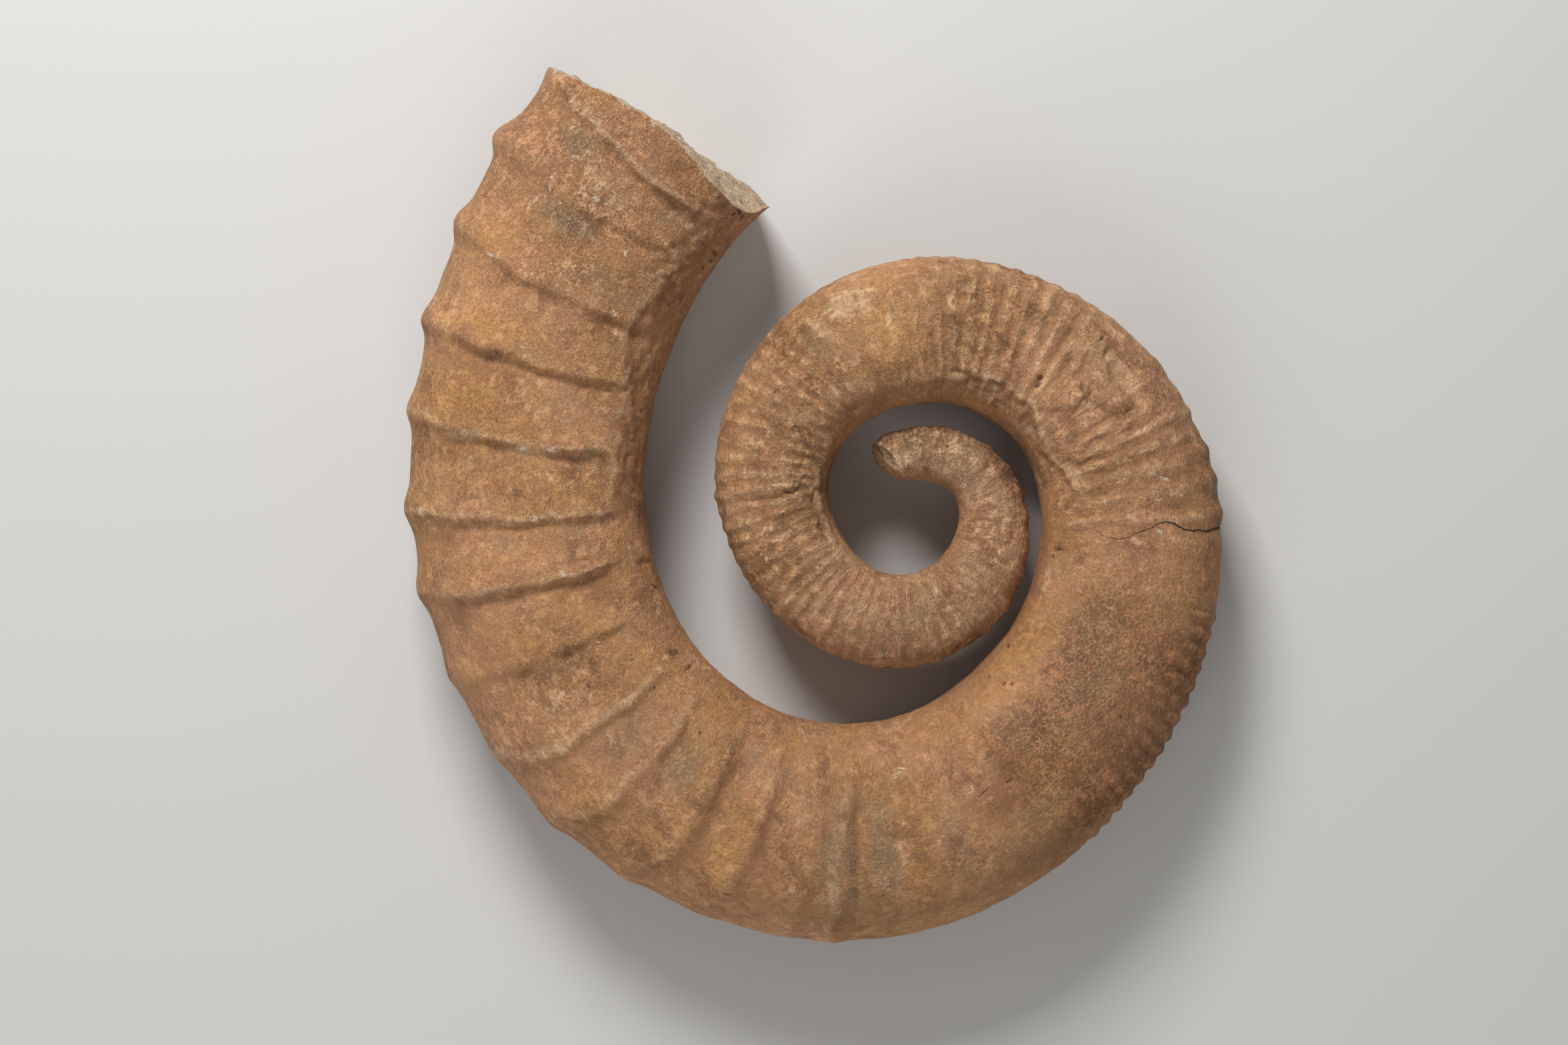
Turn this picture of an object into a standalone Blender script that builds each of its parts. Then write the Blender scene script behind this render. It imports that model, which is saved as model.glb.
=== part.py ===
"""Fossil ammonite of the loosely coiled kind, one solid piece of stone.

An open planispiral tube makes two turns that never touch and widens into a long, gently bent
shaft. It lies on its flank. Metres, +Z up, +Y along its greatest length, with the origin under
the middle of its outline, on the surface that it lies on.

Positions on the tube are given by s, the length along its middle line from the tip, and by an
angle round it: 0 is the outer edge (venter), 90 degrees the upper flank, 180 the inner edge
(dorsum). The reach v runs from +1 at the outer edge to -1 at the inner edge.
"""
import math

import bmesh
import bpy
import numpy as np
from mathutils import Matrix, Vector, noise

MM = 0.001

# ---- Course of the tube, in millimetres ------------------------------------------------------
# One station every 30 degrees of turn, clockwise from +Y round the coil's centre:
# (radius of the tube's middle line, height of the tube from inner to outer edge)
FIRST_TURN_DEG = -30.0
TURN_STEP_DEG = 30.0
STATIONS = (
    (28.0, 21.0), (29.5, 25.0), (34.5, 28.0), (42.0, 31.5), (47.0, 36.0), (50.5, 41.0),
    (54.5, 45.5), (57.5, 49.0), (58.5, 50.5), (61.0, 54.0), (67.0, 58.5), (76.0, 63.0),
    (85.0, 70.0), (94.5, 76.0), (103.0, 78.0), (112.5, 84.0), (119.5, 93.5), (127.5, 98.5),
    (143.0, 105.5), (165.0, 112.5), (180.5, 114.0), (190.0, 118.0), (197.0, 122.0),
    (210.0, 126.0), (237.5, 131.0), (265.0, 136.0),
)
TIP_TURN_DEG = -26.0
CURVE_SAMPLES = 6000

# ---- Cross-section ---------------------------------------------------------------------------
SIDES = 18
SQUARENESS = 2.3                # 2 is an ellipse, more has flatter flanks
EGG = 0.06                      # the inner half is this much broader than the outer half
BREADTH_AT_TIP = 1.0            # breadth over height
BREADTH_AT_MOUTH = 0.76

# ---- Fine ribs of the coil -------------------------------------------------------------------
# (s of the first groove, s of the last groove, ribs between them)
RIB_ZONES = (
    (6.0, 26.0, 2), (26.0, 104.0, 8), (104.0, 173.0, 10), (173.0, 264.0, 14),
    (264.0, 330.0, 9), (330.0, 382.0, 8), (382.0, 406.0, 4), (406.0, 463.5, 7),
    (463.5, 514.0, 6), (514.0, 531.0, 2), (531.0, 577.0, 4),
)
# height of the fine ribs along s
RIB_HEIGHT_AT = (0.0, 104.0, 120.0, 173.0, 330.0, 355.0, 378.0, 392.0, 463.0, 531.0, 562.0, 580.0)
RIB_HEIGHT = (0.7, 0.8, 0.5, 0.9, 0.9, 0.4, 0.2, 0.9, 1.1, 1.1, 1.4, 0.0)
RIB_SKEW = 0.8                  # below 1 the crest sits nearer the tip's side
# notches of the outer edge only
NOTCH_ZONE = (597.0, 705.0, 15)
NOTCH_DEPTH = 0.8
PLAIN_STEP = 10.0               # ring spacing where the tube has no ribs

# ---- Strong ribs of the shaft ----------------------------------------------------------------
# (s of its knob at the outer shoulder, how far it leans back towards the tip,
#  height of the knob, height on the flank)
STRONG_RIBS = (
    (813.0, 1.5, 1.6, 1.1), (831.0, 3.0, 0.8, 0.9), (863.0, 5.0, 0.8, 1.0), (897.0, 14.5, 1.6, 1.2),
    (932.0, 16.0, 2.6, 1.3), (966.0, 15.0, 1.8, 1.1), (1002.0, 9.5, 2.4, 0.8), (1038.0, 9.5, 4.2, 1.5),
    (1071.5, 9.0, 4.4, 1.7), (1113.0, 12.0, 4.6, 1.5), (1152.5, 10.5, 6.0, 2.0), (1196.5, 15.0, 6.2, 1.6),
    (1236.0, 5.0, 8.0, 0.8), (1267.0, 6.0, 3.4, 1.3),
)
TIPWARD_WIDTH = 5.0
MOUTHWARD_WIDTH = 9.0
RING_OFFSETS = (-9.0, -4.5, 0.0, 5.0, 11.0)
LEAN_REACH = (-1.0, -0.4, 0.0, 0.5, 0.75, 1.0)
LEAN_SHARE = (0.7, 0.9, 1.0, 0.75, 0.5, 0.0)
# the flank's rib dies out towards the inner edge; the knob rises at the outer shoulder
FLANK_REACH = (-0.75, -0.45, 1.0)
FLANK_SHARE = (0.0, 1.0, 1.0)
KNOB_REACH = (0.3, 0.6, 0.85, 1.0)
KNOB_SHARE = (0.0, 0.25, 1.0, 1.0)
FINE_REACH = (-0.8, -0.4, 1.0)
FINE_SHARE = (0.0, 1.0, 1.0)

# small knobs on the outer shoulder of the coil: (s, height)
COIL_KNOBS = ((116.5, 1.6), (496.0, 0.9), (533.5, 1.8), (545.0, 2.2), (556.5, 1.8))
COIL_KNOB_LENGTH = 4.0
COIL_KNOB_WIDTH = 0.2

# broken and worn places on the upper flank: (s, reach, half length, half width, depth)
WORN_PATCHES = (
    (487.0, 0.45, 17.0, 15.0, 1.4), (465.0, -0.22, 4.0, 7.0, 1.2), (262.0, -0.3, 4.0, 8.0, 1.3),
    (790.0, 0.3, 12.0, 22.0, 0.8), (1008.0, -0.35, 12.0, 18.0, 0.9),
)
LUMP_HEIGHT = 0.5
LUMP_SIZE = 22.0

# ---- Broken ends -----------------------------------------------------------------------------
# s of the break at the outer edge, at mid-flank and at the inner edge
MOUTH_BREAK = (1270.0, 1281.0, 1297.0)
TIP_BREAK = (0.5, -1.0, 6.4)
MOUTH_CAP = ((0.94, 2.5), (0.62, 5.5))    # (scale of the ring, how far it stands out)
MOUTH_MIDDLE_OUT = 4.0
TIP_CAP = ((0.80, 3.0),)
TIP_MIDDLE_OUT = 5.0
BREAK_ROUGHNESS = 1.6
BREAK_GRAIN = 14.0

# ---- How it lies -----------------------------------------------------------------------------
TILT_ABOUT_X_DEG = 0.1
TILT_ABOUT_Y_DEG = 1.0
WORN_FLAT = 1.2                 # how deep the lowest ribs are worn flat where it rests

STONE_COLOR = (0.40, 0.235, 0.135, 1.0)
STONE_ROUGHNESS = 0.82
SHARP_ANGLE_DEG = 50.0


def natural_spline(first, step, values):
    """A natural cubic spline through evenly spaced values, as a function of position."""
    values = np.asarray(values, dtype=float)
    count = len(values)
    system = np.eye(count)
    right = np.zeros(count)
    for row in range(1, count - 1):
        system[row, row - 1:row + 2] = (1.0, 4.0, 1.0)
        right[row] = 6.0 * (values[row - 1] - 2.0 * values[row] + values[row + 1]) / step ** 2
    bend = np.linalg.solve(system, right)

    def value(at):
        place = (np.asarray(at, dtype=float) - first) / step
        low = np.clip(np.floor(place).astype(int), 0, count - 2)
        after = place - low
        before = 1.0 - after
        curve = (before ** 3 - before) * bend[low] + (after ** 3 - after) * bend[low + 1]
        return before * values[low] + after * values[low + 1] + curve * step ** 2 / 6.0

    return value


class Course:
    """The tube's middle line: place, outward direction and height at any s."""

    def __init__(self):
        last = FIRST_TURN_DEG + TURN_STEP_DEG * (len(STATIONS) - 1)
        turn = np.linspace(FIRST_TURN_DEG, last, CURVE_SAMPLES)
        radius = natural_spline(FIRST_TURN_DEG, TURN_STEP_DEG, [row[0] for row in STATIONS])(turn)
        self.height = natural_spline(FIRST_TURN_DEG, TURN_STEP_DEG, [row[1] for row in STATIONS])(turn)
        self.x = radius * np.sin(np.radians(turn))
        self.y = radius * np.cos(np.radians(turn))
        run = np.concatenate(([0.0], np.cumsum(np.hypot(np.diff(self.x), np.diff(self.y)))))
        self.s = run - np.interp(TIP_TURN_DEG, turn, run)
        along_x = np.gradient(self.x, self.s)
        along_y = np.gradient(self.y, self.s)
        self.outward = (-along_y, along_x)

    def at(self, s):
        """Middle point, outward unit vector and tube height at s."""
        middle = Vector((float(np.interp(s, self.s, self.x)), float(np.interp(s, self.s, self.y)), 0.0))
        outward = Vector([float(np.interp(s, self.s, part)) for part in self.outward] + [0.0])
        return middle, outward.normalized(), float(np.interp(s, self.s, self.height))


def signed_power(value, power):
    return math.copysign(abs(value) ** power, value)


def section(angle):
    """Reach v and side w of a point of the rounded, slightly egg-shaped section, both about 1."""
    reach = signed_power(math.cos(angle), 2.0 / SQUARENESS)
    side = signed_power(math.sin(angle), 2.0 / SQUARENESS)
    return reach, side * (1.0 - EGG * reach)


def zone_grooves(zone):
    first, last, count = zone
    return [float(s) for s in np.linspace(first, last, count + 1)]


GROOVES = sorted({s for zone in RIB_ZONES for s in zone_grooves(zone)})
NOTCHES = zone_grooves(NOTCH_ZONE)


def ripple(s, grooves):
    """0 in a groove, 1 on the crest between two grooves."""
    if s <= grooves[0] or s >= grooves[-1]:
        return 0.0
    after = int(np.searchsorted(grooves, s, side="right"))
    low = grooves[after - 1]
    high = grooves[after]
    phase = ((s - low) / (high - low)) ** RIB_SKEW
    return 0.5 - 0.5 * math.cos(2.0 * math.pi * phase)


def crest_after(low, high):
    """Where the crest lies between two grooves."""
    return low + (high - low) * 0.5 ** (1.0 / RIB_SKEW)


def ring_places():
    """The s, at the outer shoulder, of every ring of the tube."""
    places = []
    for grooves in (GROOVES, NOTCHES):
        places += grooves
        places += [crest_after(low, high) for low, high in zip(grooves, grooves[1:])]
    places += [rib[0] + offset for rib in STRONG_RIBS for offset in RING_OFFSETS]
    places = sorted(place for place in places if place <= STRONG_RIBS[-1][0])
    kept = [places[0]]
    for place in places[1:]:
        while place - kept[-1] > 1.5 * PLAIN_STEP:
            kept.append(kept[-1] + PLAIN_STEP)
        if place - kept[-1] > 1.6:
            kept.append(place)
    return kept


def strong_rib_height(place, reach):
    """Height of the shaft's ribs, steep on the tip's side and gentle towards the mouth."""
    on_flank = float(np.interp(reach, FLANK_REACH, FLANK_SHARE))
    on_knob = float(np.interp(reach, KNOB_REACH, KNOB_SHARE))
    height = 0.0
    for knob, _lean, knob_height, flank_height in STRONG_RIBS:
        away = place - knob
        width = TIPWARD_WIDTH if away < 0.0 else MOUTHWARD_WIDTH
        top = flank_height * on_flank + (knob_height - flank_height) * on_knob
        height = max(height, top * math.exp(-(away / width) ** 2))
    return height


def relief(place, reach):
    """How far ribs and knobs stand out from the plain tube, in millimetres."""
    fine = float(np.interp(place, RIB_HEIGHT_AT, RIB_HEIGHT)) * (ripple(place, GROOVES) - 0.5)
    height = fine * float(np.interp(reach, FINE_REACH, FINE_SHARE))
    if NOTCHES[0] < place < NOTCHES[-1]:
        height += NOTCH_DEPTH * (ripple(place, NOTCHES) - 0.5) * max(0.0, (reach - 0.7) / 0.3)
    height += strong_rib_height(place, reach)
    for knob, top in COIL_KNOBS:
        away = ((place - knob) / COIL_KNOB_LENGTH) ** 2 + ((reach - 1.0) / COIL_KNOB_WIDTH) ** 2
        height += top * math.exp(-away)
    return height


def wear(s, reach, side, height):
    """Depth of the broken places of the upper flank."""
    depth = 0.0
    for at, at_reach, half_length, half_width, deep in WORN_PATCHES:
        along = (s - at) / half_length
        across = (reach - at_reach) * 0.5 * height / half_width
        if side > 0.0:
            depth += deep * math.exp(-(along ** 2 + across ** 2) ** 2)
    return depth


def surface_point(course, place, s, angle, scale=1.0):
    """A point of the tube's skin at s, for the ring whose ribs belong to the given place."""
    reach, side = section(angle)
    middle, outward, height = course.at(s)
    share = min(max(s / course.mouth, 0.0), 1.0)
    breadth = height * (BREADTH_AT_TIP + (BREADTH_AT_MOUTH - BREADTH_AT_TIP) * share)
    up = Vector((0.0, 0.0, 1.0))
    across = outward * reach * 0.5 * height * scale
    out = outward * signed_power(reach, SQUARENESS - 1.0) / height
    out += up * signed_power(side, SQUARENESS - 1.0) / breadth
    point = middle + across + up * side * 0.5 * breadth * scale
    lump = LUMP_HEIGHT * noise.noise(point / LUMP_SIZE)
    stand = relief(place, reach) - wear(s, reach, side, height) + lump
    return point + out.normalized() * stand * scale


def break_place(breaks, reach):
    """s of a broken end at the given reach."""
    outer, middle, inner = breaks
    return float(np.interp(reach, (-1.0, 0.0, 1.0), (inner, middle, outer)))


def rib_place(place, reach):
    """s at the given reach of a ring that crosses the outer shoulder at place."""
    knobs = [rib[0] for rib in STRONG_RIBS]
    lean = float(np.interp(place, [705.0] + knobs, [0.0] + [rib[1] for rib in STRONG_RIBS]))
    return place - lean * float(np.interp(reach, LEAN_REACH, LEAN_SHARE))


def ring_points(course, place, to_break=0.0, to_tip=0.0):
    """The points of one ring; to_break and to_tip slide it towards a slanting broken end."""
    points = []
    for index in range(SIDES):
        angle = 2.0 * math.pi * index / SIDES
        reach, _side = section(angle)
        s = rib_place(place, reach)
        s += to_break * (break_place(MOUTH_BREAK, reach) - s)
        s += to_tip * (break_place(TIP_BREAK, reach) - s)
        points.append(surface_point(course, place, s, angle))
    return points


def cap_points(course, breaks, outwards, scale, stand_out):
    """A smaller, rough ring inside a broken end."""
    points = []
    for index in range(SIDES):
        angle = 2.0 * math.pi * index / SIDES
        reach, _side = section(angle)
        s = break_place(breaks, reach * scale) + outwards * stand_out
        point = surface_point(course, s, s, angle, scale)
        rough = BREAK_ROUGHNESS * noise.noise(point / BREAK_GRAIN)
        points.append(surface_point(course, s, s + rough, angle, scale))
    return points


def build_shell(course):
    """The closed skin of the tube, in millimetres about the coil's centre."""
    rings = []
    for scale, out in reversed(TIP_CAP):
        rings.append(cap_points(course, TIP_BREAK, -1.0, scale, out))
    places = ring_places()
    rings.append(ring_points(course, places[0], to_tip=1.0))
    rings += [ring_points(course, place) for place in places[1:]]
    last = places[-1]
    for slide in (0.33, 0.66, 1.0):
        rings.append(ring_points(course, last + slide * 8.0, to_break=slide))
    for scale, out in MOUTH_CAP:
        rings.append(cap_points(course, MOUTH_BREAK, 1.0, scale, out))

    shell = bmesh.new()
    rows = [[shell.verts.new(point) for point in ring] for ring in rings]
    for row, following in zip(rows, rows[1:]):
        for index in range(SIDES):
            after = (index + 1) % SIDES
            shell.faces.new((row[index], row[after], following[after], following[index]))
    ends = ((rows[0], TIP_BREAK, -TIP_MIDDLE_OUT), (rows[-1], MOUTH_BREAK, MOUTH_MIDDLE_OUT))
    for row, breaks, out in ends:
        middle = course.at(break_place(breaks, 0.0) + out)[0]
        centre = shell.verts.new(middle)
        for index in range(SIDES):
            shell.faces.new((row[index], row[(index + 1) % SIDES], centre))
    bmesh.ops.triangulate(shell, faces=shell.faces[:])
    bmesh.ops.recalc_face_normals(shell, faces=shell.faces[:])
    return shell


def lay_down(shell):
    """Tilt the shell onto its flank, wear its lowest ribs flat and centre it over the origin."""
    tilt = Matrix.Rotation(math.radians(TILT_ABOUT_X_DEG), 4, "X")
    tilt = tilt @ Matrix.Rotation(math.radians(TILT_ABOUT_Y_DEG), 4, "Y")
    shell.transform(tilt)
    floor = min(vert.co.z for vert in shell.verts) + WORN_FLAT
    everything = shell.verts[:] + shell.edges[:] + shell.faces[:]
    cut = bmesh.ops.bisect_plane(
        shell, geom=everything, plane_co=(0.0, 0.0, floor), plane_no=(0.0, 0.0, 1.0), clear_inner=True)
    rims = [item for item in cut["geom_cut"] if isinstance(item, bmesh.types.BMEdge)]
    bmesh.ops.edgeloop_fill(shell, edges=rims)
    bmesh.ops.recalc_face_normals(shell, faces=shell.faces[:])
    low = Vector([min(vert.co[axis] for vert in shell.verts) for axis in range(3)])
    high = Vector([max(vert.co[axis] for vert in shell.verts) for axis in range(3)])
    under = Vector(((low.x + high.x) / 2.0, (low.y + high.y) / 2.0, low.z))
    shell.transform(Matrix.Scale(MM, 4) @ Matrix.Translation(-under))


def stone_material():
    material = bpy.data.materials.new("fossil_stone")
    material.use_nodes = True
    surface = material.node_tree.nodes["Principled BSDF"]
    surface.inputs["Base Color"].default_value = STONE_COLOR
    surface.inputs["Roughness"].default_value = STONE_ROUGHNESS
    surface.inputs["Metallic"].default_value = 0.0
    return material


def main():
    for item in list(bpy.data.objects):
        bpy.data.objects.remove(item, do_unlink=True)
    course = Course()
    course.mouth = MOUTH_BREAK[1]
    shell = build_shell(course)
    lay_down(shell)
    mesh = bpy.data.meshes.new("ammonite")
    shell.to_mesh(mesh)
    shell.free()
    mesh.materials.append(stone_material())
    mesh.shade_smooth()
    mesh.set_sharp_from_angle(angle=math.radians(SHARP_ANGLE_DEG))
    bpy.context.scene.collection.objects.link(bpy.data.objects.new("ammonite", mesh))


if __name__ == "__main__":
    main()
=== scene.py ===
"""Looks of the fossil ammonite: its fine skin of ribs, knobs, growth lines, flakes and breaks,
and the finish of the stone. Laid out as an add-on, with one operator for the fossil and one for
the stage, and run as a script.
"""
import itertools
import math

import bmesh
import bpy
import numpy as np
from mathutils import Matrix, Vector


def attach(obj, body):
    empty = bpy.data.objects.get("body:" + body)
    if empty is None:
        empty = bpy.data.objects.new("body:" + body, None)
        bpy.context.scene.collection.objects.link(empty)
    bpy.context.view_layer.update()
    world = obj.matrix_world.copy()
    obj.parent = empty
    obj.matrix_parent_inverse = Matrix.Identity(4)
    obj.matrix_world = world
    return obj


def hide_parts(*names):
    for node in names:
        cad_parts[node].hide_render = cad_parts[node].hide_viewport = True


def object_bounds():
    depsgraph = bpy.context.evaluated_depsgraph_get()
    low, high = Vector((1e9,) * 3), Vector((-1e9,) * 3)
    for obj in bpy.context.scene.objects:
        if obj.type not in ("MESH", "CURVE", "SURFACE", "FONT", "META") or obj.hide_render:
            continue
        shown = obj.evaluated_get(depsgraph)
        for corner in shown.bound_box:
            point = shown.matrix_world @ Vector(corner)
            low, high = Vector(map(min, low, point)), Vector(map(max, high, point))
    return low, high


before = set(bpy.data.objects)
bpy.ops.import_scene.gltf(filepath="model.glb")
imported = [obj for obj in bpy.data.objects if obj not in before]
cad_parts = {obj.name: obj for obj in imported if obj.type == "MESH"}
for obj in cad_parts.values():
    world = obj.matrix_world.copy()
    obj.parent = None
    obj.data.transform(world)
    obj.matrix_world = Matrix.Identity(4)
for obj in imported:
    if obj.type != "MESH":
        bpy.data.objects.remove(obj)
SOLID_LOW, SOLID_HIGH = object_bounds()

bl_info = {
    "name": "Fossil ammonite",
    "version": (1, 0, 0),
    "blender": (4, 5, 0),
    "location": "3D View > Sidebar > Fossil",
    "description": "Builds the skin and the finish of an open-coiled fossil ammonite",
    "category": "Add Mesh",
}

MM = 0.001
NODE = "ammonite"

# ---- Course of the tube, millimetres about the coil's centre ---------------------------------
COIL_CENTRE = Vector((0.04708, -0.00338, 0.04740))      # its place in the frame, metres
TILT_ABOUT_X_DEG = 0.1
TILT_ABOUT_Y_DEG = 1.0
FIRST_TURN_DEG = -30.0
TURN_STEP_DEG = 30.0
# (radius of the tube's middle line, height of the tube from inner to outer edge)
STATIONS = (
    (28.0, 21.0), (29.5, 25.0), (34.5, 28.0), (42.0, 31.5), (47.0, 36.0), (50.5, 41.0),
    (54.5, 45.5), (57.5, 49.0), (58.5, 50.5), (61.0, 54.0), (67.0, 58.5), (76.0, 63.0),
    (85.0, 70.0), (94.5, 76.0), (103.0, 78.0), (112.5, 84.0), (119.5, 93.5), (127.5, 98.5),
    (143.0, 105.5), (165.0, 112.5), (180.5, 114.0), (190.0, 118.0), (197.0, 122.0),
    (210.0, 126.0), (237.5, 131.0), (265.0, 136.0),
)
TIP_TURN_DEG = -26.0
CURVE_SAMPLES = 6000

SQUARENESS = 2.3                # 2 is an ellipse, more has flatter flanks
EGG = 0.06                      # the inner half is this much broader than the outer half
BREADTH_AT_TIP = 1.0
BREADTH_AT_MOUTH = 0.76

# ---- Cage of the skin ------------------------------------------------------------------------
CAGE_SIDES = 12
CAGE_ZONES = ((0.0, 9.2), (600.0, 13.2), (780.0, 11.7))     # (from s, ring spacing)
CAGE_END = 1281.0
SUBDIVISIONS = 3
SMOOTH_BELOW_DEG = 50.0
CROWDING = 0.42                 # draws the skin's vertices towards the upper flank
END_RINGS = 4                   # rings from the rim of a broken face to its middle
# the rim of each broken face as it looks from the camera: (reach, s on the upper flank, s on the lower)
MOUTH_BREAK = (
    (-1.0, 1300.0, 1300.0), (-0.96, 1288.0, 1300.2), (-0.92, 1283.0, 1300.2), (-0.86, 1281.2, 1300.4),
    (-0.8, 1280.8, 1300.5), (-0.7, 1281.0, 1299.4), (-0.58, 1281.5, 1296.2), (-0.46, 1282.4, 1292.6),
    (-0.36, 1284.6, 1290.6), (-0.2, 1285.0, 1288.6), (0.0, 1284.6, 1287.6), (0.15, 1283.4, 1284.4),
    (0.3, 1281.0, 1279.6), (0.5, 1279.6, 1276.6), (0.7, 1274.9, 1273.2), (0.9, 1271.8, 1270.8),
    (1.0, 1271.6, 1271.6),
)
MOUTH_BLEND = 24.0
TIP_BREAK = (
    (-1.0, 8.4, 8.4), (-0.9, 9.4, 6.2), (-0.75, 9.4, 3.0), (-0.5, 9.0, -0.4), (-0.1, 8.0, -1.8),
    (0.35, 6.5, -0.9), (0.8, 3.5, 0.2), (1.0, 1.2, 1.2),
)
TIP_BLEND = 18.0
BREAK_RUN = 40.0                # how far the middle of a broken face counts as lying from its rim

# ---- Fine ribs: (first groove, last groove, ribs between) ------------------------------------
RIB_ZONES = (
    (6.0, 26.0, 2), (26.0, 104.0, 8), (104.0, 173.0, 10), (173.0, 264.0, 14),
    (264.0, 330.0, 9), (330.0, 382.0, 8), (382.0, 406.0, 4), (406.0, 463.5, 7),
    (463.5, 514.0, 6), (514.0, 531.0, 2), (531.0, 577.0, 4),
)
RIB_HEIGHT = (
    (0.0, 0.3), (104.0, 0.35), (120.0, 0.45), (173.0, 0.8), (264.0, 1.0), (330.0, 0.95), (352.0, 0.4),
    (372.0, 0.08), (384.0, 0.5), (406.0, 1.0), (463.0, 1.15), (474.0, 0.4), (481.0, 0.12), (500.0, 0.15),
    (508.0, 0.6), (518.0, 1.0), (531.0, 1.1), (562.0, 1.1), (580.0, 0.0),
)
# how far the ribs run towards the mouth from the outer to the inner edge
RIB_SLANT = (
    (173.0, 0.8), (264.0, 3.4), (345.0, 4.6), (406.0, 4.4), (455.0, 3.0), (505.0, 0.0), (540.0, -2.5),
)
NOTCH_ZONE = (597.0, 705.0, 15)
NOTCH_HEIGHT = 1.7
# strength of the crumpled growth lines along s
GROWTH_STRENGTH = (
    (0.0, 0.5), (110.0, 0.42), (170.0, 0.3), (330.0, 0.22), (372.0, 0.1), (420.0, 0.16),
    (475.0, 0.3), (505.0, 0.45), (530.0, 0.3), (560.0, 0.1), (1290.0, 0.04),
)
# strength of the split layers along s, and the roughness of the whole skin
TERRACE_STRENGTH = (
    (380.0, 0.0), (420.0, 0.35), (530.0, 0.35), (570.0, 0.0), (760.0, 0.0), (860.0, 0.35),
    (1020.0, 0.7), (1120.0, 1.0), (1290.0, 1.0),
)
LUMP_STRENGTH = ((0.0, 0.6), (300.0, 0.8), (600.0, 0.9), (1000.0, 1.0), (1180.0, 1.2), (1290.0, 1.7))
# how strongly the finish is striped across the tube, and how weathered it is, along s
STRIPED = (
    (0.0, 1.7), (110.0, 1.2), (200.0, 1.0), (330.0, 0.9), (372.0, 0.4), (420.0, 0.8),
    (475.0, 0.8), (505.0, 0.9), (530.0, 0.8), (570.0, 0.3), (900.0, 0.15), (1290.0, 0.15),
)
WEATHERED = (
    (0.0, 0.7), (110.0, 0.5), (330.0, 0.2), (372.0, 0.0), (420.0, 0.3), (560.0, 0.2),
    (600.0, 0.1), (760.0, 0.0), (1180.0, 0.3), (1230.0, 0.8), (1290.0, 1.0),
)

# ---- Strong ribs -----------------------------------------------------------------------------
GROOVE_REACH = (-0.6, -0.35, 0.05, 0.45, 0.85)
# (s of the groove on the rib's tip side at each of those reaches, s of the knob, height of the knob, height
#  of the rib on the flank, width of the groove, how dark the groove is with painted shade and some dirt, how
#  pale the crest is with painted highlight and some wear)
STRONG_RIBS = (
    ((799.0, 800.0, 803.0, 805.0, 805.5), 813.0, 1.0, 0.9, 3.2, 1.6, 0.6),
    ((817.0, 818.0, 817.0, 820.0, 822.0), 831.0, 0.5, 0.8, 2.8, 1.2, 0.5),
    ((847.0, 847.0, 847.0, 851.0, 853.0), 862.0, 0.6, 1.4, 3.0, 1.0, 0.4),
    ((880.0, 878.0, 878.0, 879.0, 886.0), 896.5, 1.8, 2.1, 3.0, 0.9, 0.4),
    ((916.0, 913.0, 913.0, 914.5, 919.0), 932.0, 2.6, 2.0, 2.4, 0.8, 0.6),
    ((947.0, 944.0, 945.5, 947.0, 951.0), 965.0, 1.6, 1.7, 3.0, 0.6, 0.9),
    ((987.0, 986.0, 988.0, 989.0, 993.0), 1002.0, 2.2, 1.1, 3.4, 0.3, 0.3),
    ((1025.0, 1023.5, 1025.0, 1026.5, 1029.0), 1038.0, 3.9, 2.6, 3.6, 0.9, 0.7),
    ((1057.0, 1058.0, 1058.5, 1061.0, 1064.0), 1071.5, 4.0, 2.4, 2.8, 0.7, 0.9),
    ((1097.0, 1096.0, 1096.5, 1100.0, 1103.5), 1113.0, 4.2, 2.6, 4.2, 0.7, 0.8),
    ((1140.5, 1138.5, 1140.0, 1141.5, 1145.0), 1152.5, 5.2, 3.2, 2.8, 0.9, 0.5),
    ((1176.0, 1176.0, 1178.5, 1180.0, 1188.0), 1196.5, 5.4, 2.2, 4.2, 0.8, 0.2),
    ((1226.0, 1225.0, 1223.0, 1226.0, 1228.5), 1236.0, 6.6, 1.1, 3.6, 0.3, 0.3),
    ((1257.0, 1255.5, 1255.0, 1260.0, 1262.5), 1270.5, 3.2, 2.6, 4.2, 0.6, 1.0),
)
CREST_AFTER_GROOVE = 5.4
TIPWARD_RUN = 5.2
MOUTHWARD_RUN = 12.0
GROOVE_SHARE = 0.36
SOFT_RIBS_END = 1010.0          # up to this s the ribs are broader and softer
KNOB_TIPWARD = 6.5
KNOB_MOUTHWARD = 8.5

# (s, height, half length, reach) of the small knobs of the coil's outer shoulder
COIL_KNOBS = (
    (8.0, 1.7, 5.0, 0.93), (27.0, 1.9, 13.0, 0.9), (23.5, 0.6, 3.0, 0.9), (50.0, 0.7, 3.0, 0.95),
    (60.0, 0.6, 2.5, 0.95), (69.0, 0.7, 3.0, 0.95),
    (79.0, 0.7, 3.5, 0.95), (92.0, 0.6, 3.0, 0.95), (101.5, 0.6, 2.5, 0.95), (116.5, 1.5, 3.4, 0.95),
    (127.0, 0.6, 3.0, 0.95), (146.0, 0.5, 3.0, 0.95), (173.0, 0.5, 4.0, 0.95), (190.0, 0.6, 4.0, 0.9),
    (264.5, 0.8, 3.0, 0.97), (496.0, 1.1, 3.0, 0.95), (512.5, 0.6, 4.0, 0.95), (533.5, 1.7, 3.0, 0.93),
    (545.0, 1.9, 3.0, 0.93), (556.7, 1.4, 4.0, 0.93), (810.0, 0.7, 4.0, 0.97),
)

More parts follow.
